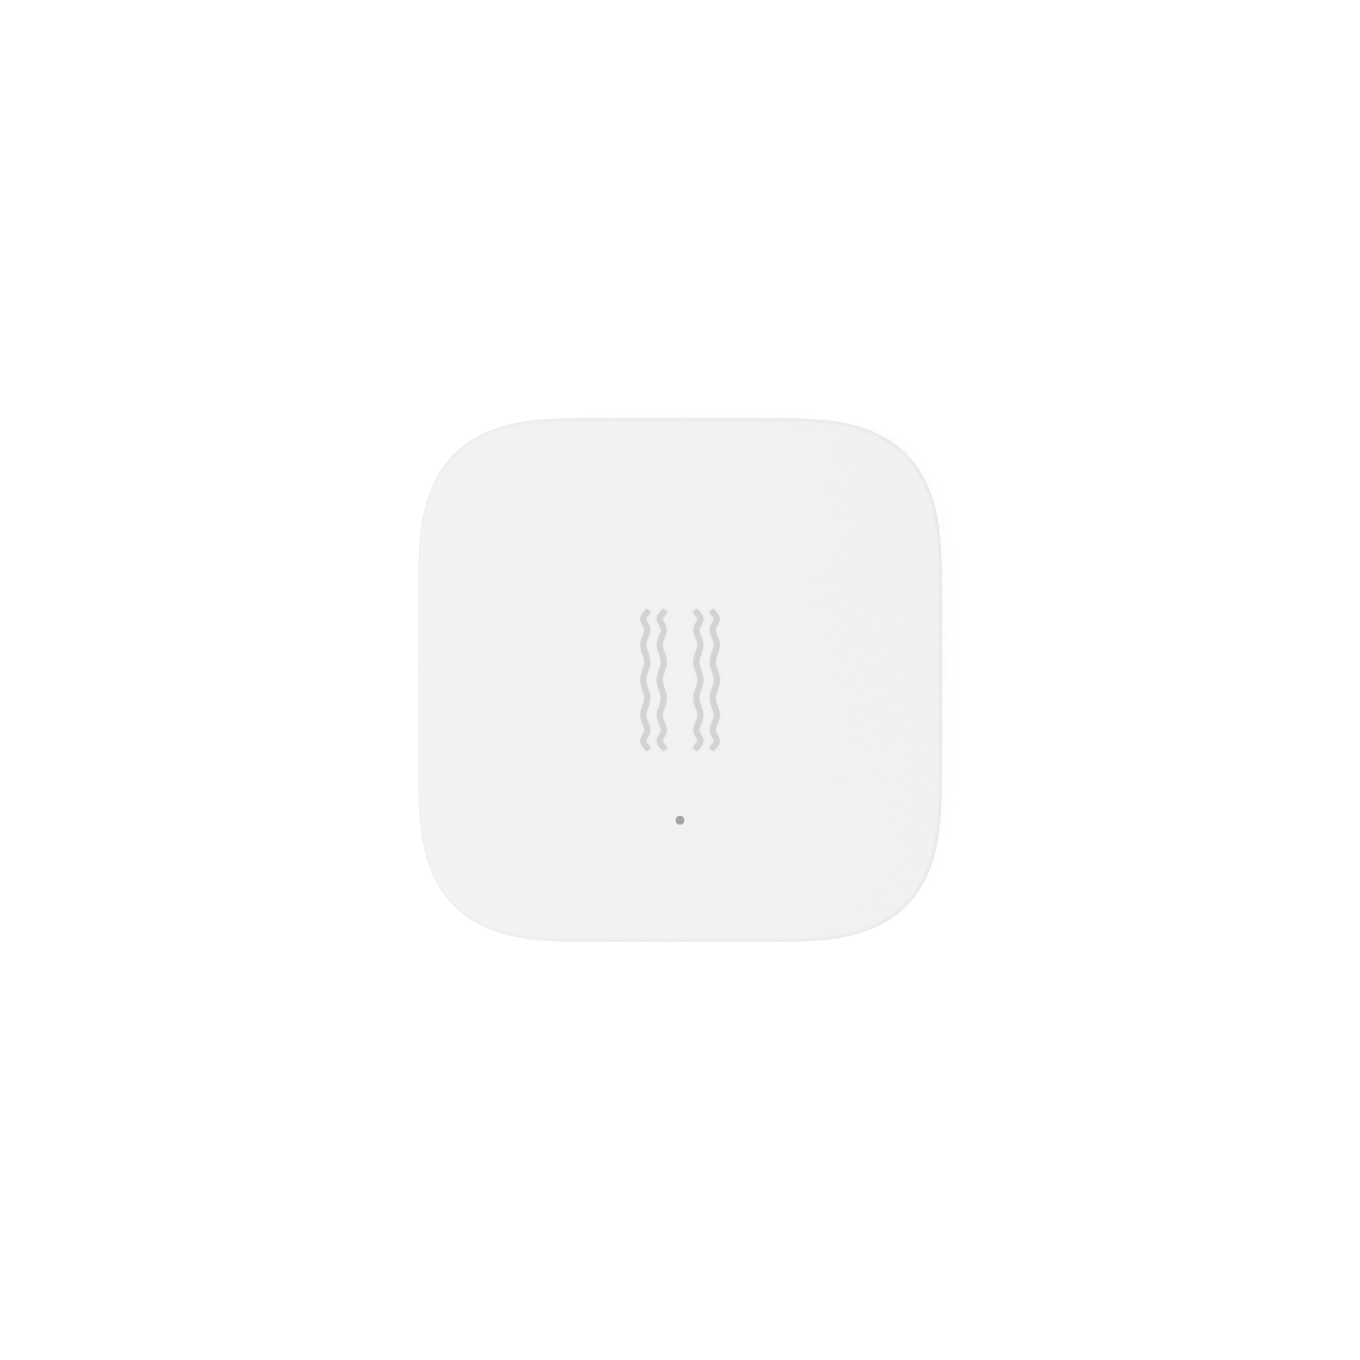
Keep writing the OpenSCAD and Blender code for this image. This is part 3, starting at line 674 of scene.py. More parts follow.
def coated(tree, geometry, finish):
    """Real geometry with its material, as every tree ends."""
    real = put(tree, "GeometryNodeRealizeInstances", Geometry=geometry)
    return put(tree, "GeometryNodeSetMaterial", Geometry=real, Material=finish)


def grow(name, tree, values, start=None):
    """Run a geometry tree with these inputs, on a start mesh or on nothing, and keep the plain mesh."""
    piece = new_object(name, start or bpy.data.meshes.new(name))
    step = piece.modifiers.new(tree.name, "NODES")
    step.node_group = tree
    for item in tree.interface.items_tree:
        if item.in_out == "INPUT" and item.name in values:
            step[item.identifier] = values[item.name]
    freeze(piece)
    return piece


pair = put(mark_tree, "GeometryNodeJoinGeometry")
for offset in offsets:
    line = put(mark_tree, "GeometryNodeGroup", {"node_tree": wavy}, Offset=given[offset])
    fill(line, **{name: given[name] for name in line_sizes})
    fill(pair, Geometry=line)
mirrored = put(mark_tree, "GeometryNodeTransform", Geometry=pair, Scale=(-1, 1, 1))
outward = put(mark_tree, "GeometryNodeFlipFaces", Mesh=mirrored)
whole = put(mark_tree, "GeometryNodeJoinGeometry", Geometry=pair)
fill(whole, Geometry=outward)
fill(sink, Mark=coated(mark_tree, whole, given["Ink"]))
ink_colour = (0.625, 0.625, 0.625)
ink_grey = moulded("ink_grey", ink_colour, 0.55, grain_scale=15000.0, depth=0.002, tint_swing=0.03)
mark = grow("printed_mark", mark_tree, {"Height": face_z * MM, "Ink": ink_grey})
dress(mark, "grey_ink", "vibration_mark")

# %% [markdown]
# ## Light pipe
# The grey dot under the mark is the end of a clear moulded pipe that carries the indicator's light to the
# face. Its grey is painted shade: the clear plastic gets a mid-grey colour that stands for the dark inside
# seen through it. It ends level with the face, so only its tip shows. It is turned in one go, with a soft
# dome at the tip.

# %% Pipe
pipe_r = pipe_high.x
tip_r = 0.285
tip_drop = 0.005


def turned(name, profile, steps=144, arc=4, centre=(0.0, 0.0)):
    """Piece that is turned from a profile with soft corners."""
    bm = bmesh.new()
    lathe(bm, soft_corners(profile, steps=arc), steps, centre)
    return make(name, bm)


pipe_line = [
    (0, pipe_low.z), (pipe_r, pipe_low.z, 0.1), (pipe_r, ceiling_z, 0.08), (tip_r, ceiling_z),
    (tip_r, face_z - 2 * tip_drop, 0.03), (0, face_z - tip_drop),
]
pipe = turned("indicator_pipe", pipe_line, steps=48, centre=light_place)
# Mid-grey painted on the clear pipe: painted shade of the dark inside seen through it.
pipe_grey = moulded("pipe_grey", (0.33, 0.33, 0.335), 0.3, grain_scale=6000.0, depth=0.0, tint_swing=0.05)
dress(pipe, "clear_plastic", "light_pipe", materials=[pipe_grey])

# %% [markdown]
# ## Reset button
# A small round button sits level with the upper side wall. Its flange stays behind the wall and rests on
# the switch. The pressed face is very slightly dished, as a finger button is.

# %% Button
face_y = button_high.y
flange_back = button_low.y
flange_t = 0.5
flange_y = flange_back + flange_t
flange_r = button_high.x
button_gap = 0.06
button_r = bore_r - button_gap
dish_r = 0.7
dish_start = 0.05
dish_depth = 0.09
button_line = [
    (0, flange_back), (flange_r, flange_back, 0.1), (flange_r, flange_y, 0.1), (button_r, flange_y, 0.05),
    (button_r, face_y, 0.22), (dish_r, face_y - dish_start, 0.6), (0, face_y - dish_depth),
]
bm = bmesh.new()
lathe(bm, soft_corners(button_line, steps=6), steps=96)
lay_along_y(bm, button_z)
button = make("side_button", bm)
dress(button, "button_plastic", "reset_button", body="reset_button", materials=[button_white])

# %% [markdown]
# ## Rear base
# Seen from behind, the base is a plate inside the shell's skirt, with a shallow pocket for the adhesive
# pad and a round socket for the battery cover. Outside it follows the rounded square and inside it is
# round, so both stacks are made from the same number of points and bridged across the pocket's floor and
# the plate's upper face.

# %% Plate and socket
plate_z = back_z + 1.2
pocket_z = back_z + 0.3
edge_in = wall + 0.1
frame_in = edge_in + 0.5
lip_r = 13.7
socket_r = 12.6
socket_wall_r = 13.8
socket_top = 3.9
roof_z = 3.5
cell_room_r = 10.3
cell_wall_r = 11.1
cell_wall_top = box_mm("rear_base")[1].z
plate_flat = 1.6
pocket_flat = 0.4
socket_flat = 0.5


def plate_with_hole(name, rim, hole):
    """Plate between the rounded square and a circle: a stack for each, bridged below and above."""
    bm = bmesh.new()
    rim_start, rim_end = stack(bm, outline, soft_corners(rim))
    hole_start, hole_end = stack(bm, circle_like, soft_corners(hole))
    bridge(bm, rim_end, hole_start)
    bridge(bm, hole_end, rim_start)
    return make(name, bm)


rim_line = [
    (edge_in + plate_flat, plate_z), (edge_in, plate_z, 0.1), (edge_in, back_z, 0.18),
    (frame_in, back_z, 0.08), (frame_in, pocket_z, 0.05), (frame_in + pocket_flat, pocket_z),
]
socket_line = [
    (lip_r + socket_flat, pocket_z), (lip_r, pocket_z, 0.05), (lip_r, back_z, 0.08),
    (socket_r, back_z, 0.15), (socket_r, roof_z, 0.1), (cell_room_r, roof_z, 0.1),
    (cell_room_r, cell_wall_top, 0.1), (cell_wall_r, cell_wall_top, 0.1), (cell_wall_r, socket_top, 0.15),
    (socket_wall_r, socket_top, 0.25), (socket_wall_r, plate_z, 0.25),
    (socket_wall_r + socket_flat, plate_z),
]
base = plate_with_hole("base_plate", rim_line, socket_line)
print("base:", [round(v / MM, 2) for v in base.dimensions])

# %% Ledges that carry the cover's lugs
lug_turns = (0, 120, 240)
ramp_rate = 0.7 / 60
ledge_radii = (11.5, 13.2)
ledge_low = 1.7
ledge_z = 2.6
ledge_half = 48
stop_radii = (11.6, 13.3)
stop_angles = (12, 46)
stop_top = 3.7


def sweep(bm, rings):
    """Closed solid through rings of points in millimetres, capped at both ends."""
    loops = [[bm.verts.new((x * MM, y * MM, z * MM)) for x, y, z in ring] for ring in rings]
    for low, high in zip(loops, loops[1:]):
        bridge(bm, low, high)
    bm.faces.new(loops[0])
    bm.faces.new(loops[-1])


def climbing_sector(bm, radii, angles, low, high, step=2.0):
    """Ring segment between two angles. Its lower and upper levels are given for both ends."""
    count = math.ceil((angles[1] - angles[0]) / step)
    rings = []
    for i in range(count + 1):
        a, z0, z1 = (start + (end - start) * i / count for start, end in (angles, low, high))
        c, s = math.cos(math.radians(a)), math.sin(math.radians(a))
        corners = [(radii[0], z0), (radii[1], z0), (radii[1], z1), (radii[0], z1)]
        rings.append([(r * c, r * s, z) for r, z in corners])
    sweep(bm, rings)


ledges = bmesh.new()
climb = ramp_rate * ledge_half
ledge_top = (ledge_z - climb, ledge_z + climb)
for turn in lug_turns:
    ledge_span = (turn - ledge_half, turn + ledge_half)
    climbing_sector(ledges, ledge_radii, ledge_span, (ledge_low, ledge_low), ledge_top)
    stop_span = [turn + a for a in stop_angles]
    climbing_sector(ledges, stop_radii, stop_span, (ledge_z, ledge_z), (stop_top, stop_top))
cut(base, ledges, "UNION")
print("base with ledges:", len(base.data.polygons), "faces")

# %% Snap arms
base_edge = half - edge_in
arm_w = 0.9
arm_root = 0.2
nose = [(-0.2, 0.0), (0.49, 0.0), (0.49, 0.1), (0.05, 0.68), (-0.2, 0.68)]
nose_in = 0.02
arms = bmesh.new()
for side, along, width in hooks:
    arm = bmesh.new()
    start, end = along - width / 2, along + width / 2
    low = (base_edge - arm_w, start, plate_z - arm_root)
    soft_box(arm, low, (base_edge, end, hook_z + hook_h), radius=0.06)
    ends = (start + nose_in, end - nose_in)
    sweep(arm, [[(base_edge + x, y, hook_z + z) for x, z in nose] for y in ends])
    pour(arms, arm, side)
cut(base, arms, "UNION")
print("base with arms:", len(base.data.polygons), "faces")

# %% Contact window and turning marks
window_low = (-11.9, -2.5, socket_top)
window_high = (-8.7, 2.5, socket_top + 3.2)
dot_ring_r = 13.15
shut_dot = 90
open_dots = (28, 32)
dimple = [(0, 0.2), (0.2, 0.17), (0.3, 0.05), (0.33, -0.1), (0, -0.1)]
marks = bmesh.new()
soft_box(marks, window_low, window_high, radius=0)
for degrees in (shut_dot, *open_dots):
    a = math.radians(degrees)
    centre = (dot_ring_r * math.cos(a), dot_ring_r * math.sin(a))
    lathe(marks, [(r, back_z + z) for r, z in dimple], steps=24, centre=centre)
cut(base, marks)
dress(base, "base_plastic", "rear_base", materials=[base_white])

# %% [markdown]
# ## Adhesive pad
# The tag is held by a die-cut pad of closed-cell foam tape. It is left as a thin flat ring with crisp
# edges, because a cutter presses it out of a sheet. The cut edge shows the foam's tiny cells and the
# lower face has a film of glue with a soft shine, so the pad has two materials.

# %% Foam and glue


def blended(tree, factor, dark, light):
    """Colour that runs from one to another."""
    return put(tree, "ShaderNodeMix", {"data_type": "RGBA"}, Factor=factor, A=(*dark, 1), B=(*light, 1))


def ranged(tree, value, low, high):
    """Value from 0 to 1, spread over a range."""
    return put(tree, "ShaderNodeMapRange", Value=value, To_Min=low, To_Max=high)


foam, tree, shader = blank_material("pad_foam")
cells = put(tree, "ShaderNodeTexVoronoi", Vector=own_place(tree), Scale=9000.0)
cell_greys = blended(tree, cells, (0.46, 0.46, 0.45), (0.78, 0.78, 0.77))
dull = ranged(tree, noise(tree, scale=900.0), 0.75, 0.95)
fill(shader, Base_Color=cell_greys, Roughness=dull, Normal=raised(tree, cells, depth=0.03, strength=0.7))

glue, tree, shader = blank_material("pad_glue")
ripple = noise(tree, scale=700.0, detail=4.0, roughness=0.6)
milk = blended(tree, ripple, (0.68, 0.68, 0.665), (0.73, 0.73, 0.715))
shine = ranged(tree, ripple, 0.24, 0.42)
fill(shader, Base_Color=milk, Roughness=shine, Normal=raised(tree, ripple, depth=0.02))
print("pad finishes:", foam.name, glue.name)

# %% Pad
pad_high = box_mm("adhesive_pad")[1]
pad_in = half - pad_high.x
pad_top = pad_high.z
hole_r = 13.8
flat = 0.4
lower_round = 0.06
upper_round = 0.04
rim_flat = pad_in + 2 * flat
hole_flat = hole_r + flat
facing_down = -0.7
pad_rim = [(rim_flat, 0), (pad_in, 0, lower_round), (pad_in, pad_top, upper_round), (rim_flat, pad_top)]
pad_hole = [(hole_flat, pad_top), (hole_r, pad_top, upper_round), (hole_r, 0, lower_round), (hole_flat, 0)]
pad = plate_with_hole("foam_pad", pad_rim, pad_hole)
for face in pad.data.polygons:
    face.material_index = int(face.normal.z < facing_down)
dress(pad, "pad_foam", "adhesive_pad", materials=[foam, glue])

# %% [markdown]
# ## Battery cover
# A round cover closes the battery socket. A coin in its slot turns it by a sixth of a turn, and its three
# lugs climb down the ledges and push it out. The slot is cut with the disc of a real coin, which leaves
# its curved floor, and a slightly wider trough breaks the sharp edge. A small triangle points at one dot
# for shut and at two for open.

# %% Cover
cover_high = box_mm("battery_cover")[1]
cover_r = cover_high.x
lug_top = cover_high.z
rim_z = back_z + 0.8
floor_top = back_z + 1.2
collar_r = 11.4
collar_in_r = 10.4
lug_radii = (10.9, cover_r)
lug_z = 2.7
lug_half = 10
cover_line = [
    (0, back_z), (cover_r, back_z, 0.2), (cover_r, rim_z, 0.1), (collar_r, rim_z, 0.05),
    (collar_r, lug_top, 0.15), (collar_in_r, lug_top, 0.15), (collar_in_r, floor_top, 0.15), (0, floor_top),
]
cover = turned("twist_cover", cover_line, steps=180)
lugs = bmesh.new()
climb = ramp_rate * lug_half
lug_low = (lug_z - climb, lug_z + climb)
for turn in lug_turns:
    climbing_sector(lugs, lug_radii, (turn - lug_half, turn + lug_half), lug_low, (lug_top, lug_top))
cut(cover, lugs, "UNION")
print("cover:", [round(v / MM, 2) for v in cover.dimensions])

# %% Coin slot and pointer
coin_r = 12.0
slot_w = 1.8
slot_depth = 0.7
slot_lip = 0.12
pointer_corners = [(0, 11.9), (-0.9, 10.3), (0.9, 10.3)]
mouth_over = 0.1
mouth_spread = 1.5


def trough(bm, corners, depth, spread):
    """Shallow pocket in the cover's face under a flat outline, wider at its mouth."""
    middle = sum((Vector(corner) for corner in corners), Vector((0, 0))) / len(corners)
    rings = []
    for z, wider in ((back_z - mouth_over, spread * mouth_spread), (back_z, spread), (back_z + depth, 0.0)):
        outs = [(Vector(corner) - middle).normalized() * wider for corner in corners]
        rings.append([(x + out.x, y + out.y, z) for (x, y), out in zip(corners, outs)])
    sweep(bm, rings)


slot = bmesh.new()
rod(slot, coin_r, -slot_w / 2, slot_w / 2, steps=256)
lay_along_y(slot, back_z + slot_depth - coin_r)
x = math.sqrt(coin_r ** 2 - (coin_r - slot_depth) ** 2)
y = slot_w / 2
trough(slot, [(-x, -y), (x, -y), (x, y), (-x, y)], depth=slot_lip, spread=slot_lip)
cut(cover, slot)
pointer = bmesh.new()
trough(pointer, pointer_corners, depth=0.2, spread=0.06)
cut(cover, pointer)
dress(cover, "cover_plastic", "battery_cover", body="battery_cover", materials=[cover_white])

# %% [markdown]
# ## Rubber ring
# A flat silicone ring lies on the cover's rim. It seals the socket and keeps the cover from rattling. It
# rises and falls with the cover but does not turn, so it rides on a body of its own.

# %% Ring
ring_low, ring_high = box_mm("cover_seal")
ring_r = ring_high.x
ring_in_r = 11.5
ring_round = 0.14
ring_start = ((ring_r + ring_in_r) / 2, ring_low.z)
ring_line = [
    ring_start, (ring_r, ring_low.z, ring_round), (ring_r, ring_high.z, ring_round),
    (ring_in_r, ring_high.z, ring_round), (ring_in_r, ring_low.z, ring_round), ring_start,
]
ring = turned("rubber_ring", ring_line, steps=180)
rubber_grey = (0.11, 0.115, 0.12)
ring_rubber = moulded("ring_rubber", rubber_grey, 0.55, grain_scale=5000.0, depth=0.006, tint_swing=0.2)
dress(ring, "seal_rubber", "cover_seal", body="cover_seal", materials=[ring_rubber])

# %% [markdown]
# ## Metals
# The coin cell, the contacts and the screws are all bright metal, and what tells metals apart is how they
# were worked: drawn steel has long faint scratches, plating is even. One group stretches a noise along an
# axis for the scratches and adds broad smudges to the gloss, and each metal places it with its own colour
# and direction.

# %% Scuffed metal group
even = (1.0, 1.0, 1.0)
scuff, given, sink = group_tree(
    "scuffed_metal",
    "ShaderNodeTree",
    {"Scratch Scale": 4000.0, "Stretch": even, "Base Roughness": 0.3, "Roughness Swing": 0.25},
    effect_outputs,
)
stretching = {"operation": "MULTIPLY"}
stretched = put(scuff, "ShaderNodeVectorMath", stretching, i0=own_place(scuff), i1=given["Stretch"])
scratch = noise(scuff, given["Scratch Scale"], detail=4.0, roughness=0.7, place=stretched)
smudge = calc(scuff, "SUBTRACT", noise(scuff, scale=260.0), 0.5)
rough = calc(scuff, "MULTIPLY_ADD", smudge, given["Roughness Swing"], given["Base Roughness"])
tint = calc(scuff, "MULTIPLY_ADD", calc(scuff, "SUBTRACT", scratch, 0.5), 0.12, 1.0)
fill(sink, Height=scratch, Roughness=rough, Tint=tint)


def metal(name, colour, roughness, stretch=(1.0, 0.04, 1.0), scale=4000.0):
    """Worked metal whose scratches run along the axis with the smallest stretch."""
    material, _, shader = blank_material(name)
    sizes = {"Scratch Scale": scale, "Stretch": stretch, "Base Roughness": roughness}
    wear(shader, scuff, colour, depth=0.002, strength=0.3, **sizes)
    fill(shader, Metallic=1.0)
    return material


cell_steel = metal("cell_steel", (0.72, 0.72, 0.71), 0.3)
contact_nickel = metal("contact_nickel", (0.58, 0.57, 0.545), 0.24, stretch=(0.04, 1.0, 1.0))
screw_steel = metal("screw_steel", (0.55, 0.55, 0.56), 0.34, stretch=(1.0, 1.0, 0.1))
solder_tin = metal("solder_tin", (0.76, 0.76, 0.75), 0.36, stretch=even, scale=9000.0)
bare_copper = metal("bare_copper", (0.62, 0.33, 0.18), 0.3, stretch=even, scale=7000.0)
print("metals:", [m.name for m in (cell_steel, contact_nickel, screw_steel, solder_tin, bare_copper)])

# %% [markdown]
# ## Coin cell
# The cell is a pressed steel can, a thin plastic sealing ring and a cap that the can's edge is rolled
# over. All three are bodies of revolution, so each is one turned profile. The can has the shallow step
# around its underside that the pressing tool leaves, and the cap has a raised rim.

# %% Can, sealing ring and cap
can_low, can_high = box_mm("coin_cell_can")
cap_low, cap_high = box_mm("coin_cell_cap")
cell_r = can_high.x
cell_z = can_low.z
can_top = can_high.z
cap_r = cap_high.x
cap_top = cap_high.z
cup_r = box_mm("coin_cell_gasket")[1].x
cup_z = cap_low.z
press = 0.05
step_r = 8.4
step_slope = 0.15
rim_in_r = 7.0
rim_slope = 0.2
can_line = [
    (0, cell_z + press), (step_r, cell_z + press, 0.08), (step_r + step_slope, cell_z, 0.08),
    (cell_r, cell_z, 0.4), (cell_r, can_top, 0.4), (cup_r, can_top, 0.12), (cup_r, cup_z, 0.1), (0, cup_z),
]
sealing_start = (cap_r, (cup_z + can_top) / 2)
sealing_line = [
    sealing_start, (cap_r, cup_z, 0.05), (cup_r, cup_z, 0.05), (cup_r, can_top, 0.1), (cap_r, can_top, 0.1),
    sealing_start,
]
cap_line = [
    (0, cup_z), (cap_r, cup_z, 0.1), (cap_r, can_top, 0.08), (cap_r - rim_slope, cap_top, 0.1),
    (rim_in_r, cap_top, 0.1), (rim_in_r - rim_slope, cap_top - press, 0.1), (0, cap_top - press),
]
seal_plastic = moulded("seal_plastic", (0.05, 0.05, 0.055), 0.45, grain_scale=8000.0, tint_swing=0.2)
for name, line, arc, slot, node, finish in (
    ("cell_can", can_line, 5, "cell_steel", "coin_cell_can", cell_steel),
    ("cell_sealing_ring", sealing_line, 4, "cell_gasket", "coin_cell_gasket", seal_plastic),
    ("cell_cap", cap_line, 4, "cell_steel", "coin_cell_cap", cell_steel),
):
    dress(turned(name, line, arc=arc), slot, node, materials=[finish])

# %% [markdown]
# ## Battery contacts
# Two strips of springy plated sheet reach the cell: a bowed leaf for the cap and a bent finger beside the
# can. Each is a flat strip that follows a bent line. A straight extrusion would leave sharp folds, so the
# line's corners are rounded first and the strip is swept along it.

# %% Bent strips
sheet = 0.2
touch_gap = 0.03


def bent_strip(name, line, width, bend):
    """Sheet strip across Y along a line of X and Z, with rounded bends."""
    points = soft_corners(line, radius=bend, steps=5)
    rings = []
    for before, here, after in zip(points[:1] + points, points, points[1:] + points[-1:]):
        along = (after - before).normalized()
        out = Vector((-along.y, along.x)) * sheet / 2
        corners = [(here + out, -1), (here + out, 1), (here - out, 1), (here - out, -1)]
        rings.append([(corner.x, side * width / 2, corner.y) for corner, side in corners])
    bm = bmesh.new()
    sweep(bm, rings)
    return make(name, bm)


leaf_high = box_mm("negative_contact")[1]
leaf_z = board_z - sheet / 2
dip_z = cap_top + touch_gap + sheet / 2
right_half = [(0.8, dip_z), (3.4, leaf_z), (leaf_high.x, leaf_z)]
left_half = [(-x, z) for x, z in reversed(right_half)]
leaf = bent_strip("negative_leaf", left_half + right_half, 2 * leaf_high.y, bend=0.5)
dress(leaf, "contact_nickel", "negative_contact", materials=[contact_nickel])
finger_low, finger_high = box_mm("positive_contact")
finger_x = -cell_r - touch_gap - sheet / 2
finger_line = [
    (finger_low.x, leaf_z), (finger_x - 0.45, leaf_z), (finger_x - 0.45, board_z - 0.5),
    (finger_x + 0.02, board_z - 0.92, 0.08), (finger_x - 0.4, board_z - 1.33),
]
finger = bent_strip("positive_finger", finger_line, 2 * finger_high.y, bend=0.2)
dress(finger, "contact_nickel", "positive_contact", materials=[contact_nickel])

# %% [markdown]
# ## Circuit board
# The board is glass cloth in resin under a green solder mask. Its faces and its routed edge look quite
# different, so the faces are told apart by their normals and get two materials: the mask with the faint
# weave of the cloth under it, and the pale layered core. Where copper lies under the mask it looks paler,
# so the mask is a function of two greens.

# %% Mask and core


def bands(tree, direction, scale, distortion):
    """Soft stripes across a direction."""
    inputs = {"Vector": own_place(tree), "Scale": scale, "Distortion": distortion}
    return put(tree, "ShaderNodeTexWave", {"bands_direction": direction}, **inputs).outputs["Fac"]


def solder_mask(name, dark, light):
    """Glossy mask that flows between two greens, with the weave of the cloth faintly raised under it."""
    material, tree, shader = blank_material(name)
    weave = calc(tree, "MULTIPLY", bands(tree, "X", 400.0, 0.6), bands(tree, "Y", 400.0, 0.6))
    flow = noise(tree, scale=300.0)
    fill(shader, Base_Color=blended(tree, flow, dark, light), Roughness=ranged(tree, flow, 0.22, 0.4))
    fill(shader, Normal=raised(tree, weave, depth=0.01, strength=0.35))
    return material


mask_green = solder_mask("mask_green", (0.010, 0.105, 0.045), (0.022, 0.165, 0.075))
track_green = solder_mask("track_green", (0.030, 0.200, 0.090), (0.050, 0.270, 0.130))
core_glass, tree, shader = blank_material("core_glass")
plies = blended(tree, bands(tree, "Z", 1600.0, 2.0), (0.42, 0.36, 0.17), (0.58, 0.53, 0.30))
fill(shader, Base_Color=plies, Roughness=ranged(tree, noise(tree, scale=6000.0), 0.65, 0.9))
print("board finishes:", mask_green.name, track_green.name, core_glass.name)

# %% Board with its notch and holes
board_in = half - board_high.x
screw_hole_r = 0.8
notch_half = 2.4
notch_room = 0.65
notch_y = flange_back - notch_room
facing_up = 0.9
drill_low = board_z - past
drill_high = board_top + past
bm = bmesh.new()
sweep(bm, [[(x, y, z) for x, y in outline(board_in)] for z in (board_z, board_top)])
board = make("main_board", bm)
openings = bmesh.new()
for place in screw_places:
    rod(openings, screw_hole_r, drill_low, drill_high, centre=place)
soft_box(openings, (-notch_half, notch_y, drill_low), (notch_half, half, drill_high), radius=0)
cut(board, openings)
for face in board.data.polygons:
    face.material_index = int(abs(face.normal.z) < facing_up)
dress(board, "board_mask", "circuit_board", materials=[mask_green, core_glass])

# %% [markdown]
# ## Tracks on the board
# Copper tracks run under the mask as low ridges with bevelled corners. Each is a route of a few points,
# and a geometry tree sweeps a flat profile along all of them at once.

# %% Tracks
track_t = 0.03
track_tree, given, sink = group_tree(
    "copper_tracks",
    "GeometryNodeTree",
    {"Routes": "Geometry", "Width": 0.00025, "Thickness": track_t * MM, "Finish": "Material"},
    {"Tracks": "Geometry"},
)
swept = ribbon(track_tree, given["Routes"], given["Width"], given["Thickness"])
fill(sink, Tracks=coated(track_tree, swept, given["Finish"]))
routes = [
    [(-4.6, -1.4), (-4.6, 0.7)],
    [(-3.6, -1.4), (-3.6, 0.7)],
    [(-7.5, 3.2), (-9.7, 3.2)],
    [(-7.5, 4.2), (-9.7, 4.2)],
    [(-1.7, 3.0), (0.3, 3.0)],
    [(-1.7, 4.4), (2.4, 4.4), (3.0, 3.8), (3.8, 3.8)],
    [(-1.7, 2.1), (-1.0, 2.1), (0.1, 1.0), (2.2, 1.0), (3.6, 2.4), (3.8, 2.4)],
    [(-2.4, 0.7), (-2.4, -8.3), (-1.06, -9.64), (-0.75, -9.64)],
    [(0.75, -9.64), (1.7, -9.64), (2.06, -10.0), (2.5, -10.0)],
    [(2.6, -9.3), (2.6, -5.0), (-0.5, -1.9), (-0.5, 0.1), (-1.1, 0.7), (-1.7, 0.7)],
    [(-5.6, 6.5), (-5.6, 7.4), (-6.24, 8.04), (-6.24, 8.5)],
    [(-4.44, 6.5), (-4.44, 8.5)],
    [(-3.38, 6.5), (-3.38, 8.5)],
    [(-2.4, 6.5), (-1.3, 7.6), (2.4, 7.6)],
    [(4.24, 7.6), (3.2, 7.6)],
    [(6.6, 3.6), (7.9, 3.6)],
    [(4.8, 0.7), (4.8, 2.1)],
    [(-1.7, 1.4), (-1.1, 1.4), (3.3, -3.0), (6.2, -3.0), (9.2, -6.0), (9.5, -6.0)],
    [(-8.6, -2.6), (-8.6, 0.0), (-7.7, 0.9), (-7.5, 0.9)],
    [(-9.6, 0.4), (-9.6, 0.9), (-8.7, 1.8), (-7.5, 1.8)],
    [(-7.0, -5.2), (-6.6, -5.2), (-5.6, -4.2), (-5.6, -3.8)],
]
grid = bmesh.new()
for route in routes:
    points = loop_at(grid, route, board_top + track_t / 2)
    for pair in zip(points, points[1:]):
        grid.edges.new(pair)
route_mesh = bpy.data.meshes.new("routes")
grid.to_mesh(route_mesh)
grid.free()
tracks = grow("board_tracks", track_tree, {"Finish": track_green}, start=route_mesh)
dress(tracks, "board_mask")

# %% [markdown]
# ## Parts that repeat
# Screws, capacitors, resistors and the terminals of the chips are each one shape set down many times. One
# geometry tree puts a body, and its metal ends if it has any, on every point of a list, turned by the
# point's own angle.

# %% Tree that sets a part on every place
forms = ("Ends", "Body")
sockets = {"Places": "Geometry"}
for form in forms:
    sockets[form] = "Object"
    sockets[form + " Finish"] = "Material"
parts_tree, given, sink = group_tree("parts_on_places", "GeometryNodeTree", sockets, {"Parts": "Geometry"})
turn = put(parts_tree, "GeometryNodeInputNamedAttribute", {"data_type": "FLOAT"}, Name="turn")
spin = put(parts_tree, "ShaderNodeCombineXYZ", Z=turn)
joined = put(parts_tree, "GeometryNodeJoinGeometry")
for form in forms:
    shape = put(parts_tree, "GeometryNodeObjectInfo", Object=given[form]).outputs["Geometry"]
    setting = {"Points": given["Places"], "Instance": shape, "Rotation": spin}
    copies = put(parts_tree, "GeometryNodeInstanceOnPoints", **setting)
    fill(joined, Geometry=coated(parts_tree, copies, given[form + " Finish"]))
fill(sink, Parts=joined)


def set_out(name, places, level, **forms):
    """Put forms with their finishes on places of (x, y, degrees) at a level, and drop the forms after."""
    points = bpy.data.meshes.new(name + "_places")
    points.from_pydata([(x * MM, y * MM, level * MM) for x, y, _ in places], [], [])
    turns = points.attributes.new("turn", "FLOAT", "POINT")
    turns.data.foreach_set("value", [math.radians(a) for _, _, a in places])
    values = {}
    for kind, (form, finish) in forms.items():
        values[kind] = form
        values[kind + " Finish"] = finish
    piece = grow(name, parts_tree, values, start=points)
    for form, _ in forms.values():
        discard(form)
    return piece


print("tree:", parts_tree.name, "with", len(parts_tree.nodes), "nodes")

